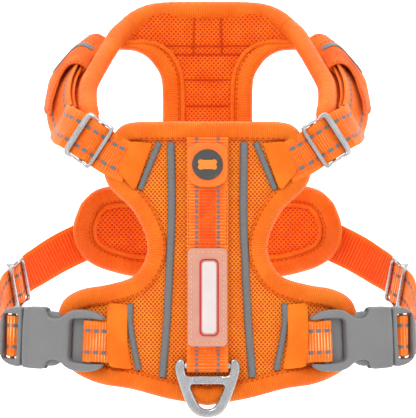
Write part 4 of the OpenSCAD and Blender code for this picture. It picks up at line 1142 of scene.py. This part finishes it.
k0, k1 = 3 * FINE, 23 * FINE
for side in ("right", "left"):
    m = arr if side == "right" else mirrored
    rows, tape_rows, U = [], [], []
    for k in range(k0, k1 + 1):
        l0, l1 = ROLL_R - 2.0, yoke_l[k] - 3.2
        t = np.linspace(0, 1, 11)
        up = [(l0 + (l1 - l0) * x, HALF_YOKE * 0.86 + 0.9 * math.sin(math.pi * x)) for x in t]
        dn = [(l0 + (l1 - l0) * x, -HALF_YOKE * 0.86 - 0.7 * math.sin(math.pi * x)) for x in t[::-1]]
        rows.append([roll_pts[k] + l * wid[k] + d * nor[k] for l, d in up + dn])
        sec = [(-9.5, 2.6), (-9.4, 3.9), (-7, 4.5), (-4, 4.6), (-1.6, 3.8), (-0.2, 2.0), (0.1, 0),
            (-0.2, -2.0), (-1.6, -3.8), (-4, -4.6), (-7, -4.5), (-9.4, -3.9), (-9.5, -2.6), (-7, -1),
            (-7, 1)]
        f = min(1.0, (yoke_l[k] - ROLL_R) / 14)
        tape_rows.append([roll_pts[k] + (yoke_l[k] + a * f) * wid[k] + d * nor[k] for a, d in sec])
    y = grid(f"{side}_yoke_pad", m(rows), LINING, "vest",
        stands_for=once(side, "yoke_cover", "yoke_padding", "yoke_lining"))
    grid(f"{side}_yoke_tape", m(tape_rows), TAPE, "vest", stands_for=once(side, "yoke_edge_binding"))

    def sleeve_ring(i, wall, lift=0.0):
        def at(c, dome):
            j = i + (i - 3) / 9 * (3.6 / (1 + math.exp(-11 * (c + 0.16)))
                + 2.2 * math.exp(-((c - 0.3) / 0.4) ** 2) - 0.7)
            reach = np.interp(j * FINE, np.arange(len(yoke_l)), yoke_l)
            l0, l1 = ROLL_R + 1.1 + wall, reach - 0.8 - wall
            base = HALF_YOKE + 0.9 + wall
            high = 12.6 * (0.72 + 0.28 * math.sin(math.pi * (i - 2) / 11)) - 2 * wall + lift
            return yoke_point(j, (l0 + l1) / 2 + (l1 - l0) / 2 * c, base + high * dome)
        out = []
        for a in np.linspace(0, math.pi, 25):
            c, q = math.cos(a), math.sin(a)
            out.append(at(math.copysign(abs(c) ** 0.72, c), q ** 0.62))
        return arr(out + [at(x, 0) for x in np.linspace(-1, 1, 8)[1:-1]])

    steps = np.arange(3, 12 + 1e-6, 1 / FINE)
    puff = lambda i: (0.25 * math.sin(i * 2.3) - 0.9 * math.exp(-((i - 6.0) / 0.45) ** 2)
        - 0.7 * math.exp(-((i - 3.2) / 0.4) ** 2) + 0.5 * math.exp(-((i - 11.9) / 0.3) ** 2))
    outer = [sleeve_ring(i, 0, puff(i)) for i in steps]
    inner = [sleeve_ring(i, 1.1, puff(i)) for i in steps]
    P = m(np.vstack([outer, inner[::-1]]))
    U = lengths(arr(outer).mean(1))
    total = U[-1]
    U = np.concatenate([U, total + 1.1 + (total - U[::-1]), [2 * total + 2.2]])
    sl = grid(f"{side}_sleeve_piece", P, SHADED_SLEEVE_CLOTH, "vest", closed_u=True, U=U,
        stands_for=(f"{side}_sleeve",))
    band = []
    for i in np.arange(7, 8 + 1e-6, 1 / FINE):
        a, b = sleeve_ring(i, -0.25, puff(i)), sleeve_ring(i, -0.8, puff(i))
        edge = -0.3 if i < 7.1 or i > 7.9 else 0
        band.append(np.vstack([b[1:24] if edge == 0 else sleeve_ring(i, -0.5, puff(i))[1:24],
            a[1:24][::-1]]))
    grid(f"{side}_sleeve_band", m(band), GREY_BAND, "vest", stands_for=once(side, "sleeve_bands"))
    lines = []
    for i in (6.33, 3.67, 11.67):
        r = sleeve_ring(i, -0.05, puff(i))[1:24]
        lines.append((m(r), m(unit(r - r.mean(0)))))
    stitches(f"{side}_sleeve_stitches", lines, THREAD, "vest", pitch=2.6, length=1.6, r=0.28)

    # shoulder strap in two layers
    low = [[46.6, -61.8, -62.8], [48.4, -61.5, -62], [52, -60.8, -60.3], slide_c - 16 * slide_t]
    low_w = [[0.45, 0.09, -0.86], [0.48, 0.11, -0.86], [0.5, 0.11, -0.85], slide_w]
    ins = [(18, 19, 9.6), (16, 20, 10.2), (14, 21, 10.6), (12, 22, 10.4), (10, 21.4, 10.4),
        (9, 21.05, 10.4)]
    upper = [slide_c + 16 * slide_t, [88.2, -42, -38.8], [90.4, -31, -36.6]] + [yoke_point(*q) for q in ins]
    upper_w = [slide_w, [0.44, 0.14, -0.86], [0.42, 0.3, -0.84]] + [wid[int(q[0] * FINE)] for q in ins]
    path, wide = np.vstack([smooth(low, 5), smooth(upper, 5)]), np.vstack([smooth(low_w, 5),
        smooth(upper_w, 5)])
    strap(f"{side}_shoulder_strap", m(path), m(wide), WEB_SHOULDER, "vest", step=1.2,
        stands_for=(f"{side}_shoulder_webbing",))
    hp = arr(upper)
    hn = unit(np.cross(across(hp, arr(upper_w)), heading(hp)))
    hp = hp - 3.2 * hn
    hp[0] += 0.8 * slide_t
    strap(f"{side}_shoulder_strap_back", m(smooth(hp, 5)), m(smooth(upper_w, 5)), WEB_SHOULDER, "vest",
        step=1.2)


# Low pads at the back panel's upper corners
for side in ("right", "left"):
    m = arr if side == "right" else mirrored
    p = smooth([[40, 60.4, 22], [44, 59.6, 21.4], [49, 57.8, 20.4], [54, 54, 17.6]], 5)
    w = np.repeat([[0.2, 0.3, -0.9]], len(p), 0)
    f = np.sin(np.linspace(0.25, math.pi - 0.25, len(p)))
    prof = np.stack([np.cos(ang), np.sin(ang)], 1)[None] * np.stack([4.6 * f, 1.6 * f], 1)[:, None]
    pad = grid(f"{side}_corner_pad", m(sweep(p, w, prof)), CLOTH, "vest",
        stands_for=once(side, "upper_sleeves"))


# ---------------------------------------------------------------- back strap, handle and back ring

BACK_Y = 65 + 0.3 + 0.8
strap("back_strap", [[0, BACK_Y, 28], [0, BACK_Y, -30], [0, BACK_Y, -80], [0, BACK_Y, -122]],
    [[1, 0, 0]] * 4, WEB_SHOULDER, "vest", stands_for=("back_webbing",))
handle_y = BACK_Y + 1.9
handle = smooth([[0, 0.1, 24], [0, 0.1, 16], [0, 3.5, 9], [0, 14, 2], [0, 20.5, -7], [0, 22, -18],
    [0, 20.5, -29], [0, 14, -38], [0, 3.5, -45], [0, 0.1, -52], [0, 0.1, -60]], 9) + [0, handle_y, 0]
strap("handle_strap", handle, [[1, 0, 0]] * len(handle), WEB_SHOULDER, "vest",
    stands_for=("handle_webbing",))
span = handle[30:61]
n = len(span)
bulge = np.sin(np.linspace(0, math.pi, n)) ** 0.35
full = across(handle, [[1, 0, 0]] * len(handle))[30:61]
nrm = unit(np.cross(heading(handle), across(handle, [[1, 0, 0]] * len(handle))))[30:61]
a = np.linspace(0, 2 * math.pi, 29)[:-1]
ca, sa = np.cos(a), np.sin(a)
cx = np.sign(ca) * abs(ca) ** 0.75
sideways = full[:, None] * (13.4 + 1.6 * bulge)[:, None, None] * cx[None, :, None]
outwards = nrm[:, None] * (2.2 + 3.6 * bulge)[:, None, None] * sa[None, :, None]
P = span[:, None] + sideways + outwards
grip = grid("handle_pad", P, TAPE, "vest", stands_for=("handle_grip",))
BBAR = arr([0, BACK_Y + 1.6 + 0.2 + LOOP_R, -92])
y0 = BBAR[1] - LOOP_R
keeper = np.vstack([[[0, y0, -64], [0, y0, -78], [0, y0, -91]],
    [BBAR + LOOP_R * arr([0, math.cos(x), math.sin(x)]) for x in np.linspace(math.pi, 2 * math.pi, 13)],
    [[0, BBAR[1] + LOOP_R, -90.6], [0, y0 + 3.0, -80.6], [0, y0 + 1.7, -76], [0, y0 + 1.7, -65]]])
strap("ring_keeper", keeper, [[1, 0, 0]] * len(keeper), WEB_BUCKLE, "vest", step=1.0,
    stands_for=("back_ring_keeper",))
half_turn = np.linspace(math.pi, 2 * math.pi, 40)
d_out = np.vstack([[(18.6 * math.cos(x), 18.6 * math.sin(x)) for x in half_turn],
    [(18.6, 1.6), (17.4, 2.9), (15.4, 2.9), (14.2, 1.6)],
    [(14.2 * math.cos(x), 14.2 * math.sin(x)) for x in half_turn[::-1]],
    [(-14.2, 1.6), (-15.4, 2.9), (-17.4, 2.9), (-18.6, 1.6)]])
slab("back_ring_body", [d_out], placement(BBAR, [1, 0, 0], [0, 0, 1], [0, -1, 0]), 2.3, 2.1, METAL,
    "back_ring", step=0.9, rim_step=0.7, stands_for=("back_ring",), sharp=70)
rod("back_ring_bar", BBAR - [15, 0, 0], BBAR + [15, 0, 0], 2.1, METAL, "back_ring")


# ---------------------------------------------------------------- stitching

def along_edge(panel, loop, inset, d, keep=None):
    n = softened_outward(loop)
    q = loop - n * inset
    if keep is not None:
        q = q[kept_run(keep)]
    else:
        q = np.vstack([q, q[:1]])
    p = on_panel(panel, q, np.full(len(q), d))
    nn = panel_normal(panel, p)
    return (p, nn if d < 3.5 else -nn)


for k, ends in enumerate(([[-36, 10.4], [36, 10.4]], [[-36, 16], [36, 16]], [[-9.2, 11], [-8.6, 36]],
        [[9.2, 11], [8.6, 36]], [[-17, -6], [17, -6]], [[-17, -23], [17, -23]])):
    seam = even(arr(ends), 1.0)
    seam_path = on_panel(BACK, seam, np.full(len(seam), 7.5 + (0.4 if k == 1 else 0)))
    strap(f"back_seam_{k}", seam_path, [np.cross(panel_normal(BACK, seam_path)[0],
        unit(seam_path[-1] - seam_path[0]))] * len(seam), THREAD, "vest", w=0.9, t=0.6, step=1.0,
        slot="binding_tape")
stitches("chest_edge_stitches", [along_edge(CHEST, chest_loop, 9.5, -1.85),
    along_edge(CHEST, chest_loop, 9.5, 8.7)], THREAD, "vest", pitch=3.2, length=2.0, r=0.3)
stitches("back_edge_stitches", [along_edge(BACK, back_loop, 9.5, -1.85, back_keep),
    along_edge(BACK, back_loop, 9.5, 8.7, back_keep)], THREAD, "vest", pitch=3.2, length=2.0, r=0.3)
box = lambda z0, z1, y: [(arr([[-10.6, y, z0], [10.6, y, z0], [10.6, y, z1], [-10.6, y, z1],
    [-10.6, y, z0]]), [0, 1, 0]), (arr([[-10.6, y, z0], [10.6, y, z1]]), [0, 1, 0]),
    (arr([[-10.6, y, z1], [10.6, y, z0]]), [0, 1, 0])]
stitches("back_box_stitches", box(22.6, 16.4, handle_y + 0.95) + box(-52.5, -59.2,
    handle_y + 0.95) + box(-66, -75.5, y0 + 1.7 + 0.85) + [(arr([[x, BACK_Y + 0.85, 27],
    [x, BACK_Y + 0.85, -121]]), [0, 1, 0]) for x in (-11.2, 11.2)], THREAD_PALE, "vest", pitch=2.6,
    length=1.7, r=0.26)
stitches("middle_stitches", [(arr([[x, STRAP_Y - 0.85, -78.5], [x, STRAP_Y - 0.85, -112]]),
    [0, -1, 0]) for x in (-11.3, 11.3)] + [(arr([[-11, STRAP_Y - 0.85, z], [11, STRAP_Y - 0.85, z]]),
    [0, -1, 0]) for z in (-111, -174.6)], THREAD, "vest", pitch=2.4, length=1.6, r=0.26)


# ---------------------------------------------------------------- backdrop and lights

def stage_mesh(name, verts, faces, mat):
    mesh = bpy.data.meshes.new(name)
    mesh.from_pydata(verts, [], faces)
    mesh.materials.append(mat)
    for p in mesh.polygons:
        p.use_smooth = True
    obj = bpy.data.objects.new(name, mesh)
    scene.collection.objects.link(obj)
    return obj


# A pale floor that rises all round into a bowl, and glows softly: brighter behind the object's back
backdrop = Finish("backdrop_paper", rough=0.95, specular=0.0)
coord = backdrop.nodes.new("ShaderNodeTexCoord")
split = backdrop.nodes.new("ShaderNodeSeparateXYZ")
backdrop.links.new(coord.outputs["Object"], split.inputs[0])
glow = backdrop.ramp(split.outputs[1], -1.0, 1.6, 0.22, 1.05)
backdrop.colour(backdrop.mix(backdrop.noise(0.002, 2), (0.55, 0.55, 0.55, 1), (0.6, 0.6, 0.6, 1)))
backdrop.bsdf.inputs["Emission Color"].default_value = (1, 1, 1, 1)
backdrop.put(backdrop.bsdf.inputs["Emission Strength"], glow)
rows = [(0.0, -0.55), (2.0, -0.55), (3.2, -0.5), (4.2, -0.2), (4.9, 0.5), (5.2, 1.6), (5.0, 3.2),
    (4.0, 4.6), (2.0, 5.4), (0.0, 5.6)]
ring_n = 64
verts = [(r * math.cos(2 * math.pi * k / ring_n), r * math.sin(2 * math.pi * k / ring_n), z) for r,
    z in rows[1:-1] for k in range(ring_n)]
verts += [(0, 0, rows[0][1]), (0, 0, rows[-1][1])]
faces = [(i * ring_n + k, i * ring_n + (k + 1) % ring_n, (i + 1) * ring_n + (k + 1) % ring_n,
    (i + 1) * ring_n + k) for i in range(len(rows) - 3) for k in range(ring_n)]
faces += [(len(verts) - 2, (k + 1) % ring_n, k) for k in range(ring_n)]
top_row = (len(rows) - 3) * ring_n
faces += [(len(verts) - 1, top_row + k, top_row + (k + 1) % ring_n) for k in range(ring_n)]
stage_mesh("backdrop", verts, faces, backdrop.mat)

world = bpy.data.worlds.new("studio")
world.use_nodes = True
world.node_tree.nodes["Background"].inputs[0].default_value = (1, 1, 1, 1)
world.node_tree.nodes["Background"].inputs[1].default_value = 0.5
scene.world = world


def area(name, at, target, size, power):
    data = bpy.data.lights.new(name, "AREA")
    data.shape, data.size, data.energy = "SQUARE", size, power
    obj = bpy.data.objects.new(name, data)
    obj.location = at
    obj.rotation_mode = "QUATERNION"
    obj.rotation_quaternion = (Vector(target) - Vector(at)).to_track_quat("-Z", "Y")
    scene.collection.objects.link(obj)


area("key", (-0.8, -1.5, 1.3), (0, 0, -0.08), 0.6, 11.5)
area("fill", (1.3, -1.3, 0.2), (0, 0, -0.08), 0.7, 2.0)
area("top", (0, 0.2, 1.4), (0, 0, -0.08), 0.7, 3)
area("rear", (0.6, 1.3, 0.8), (0, 0, -0.08), 0.7, 1)
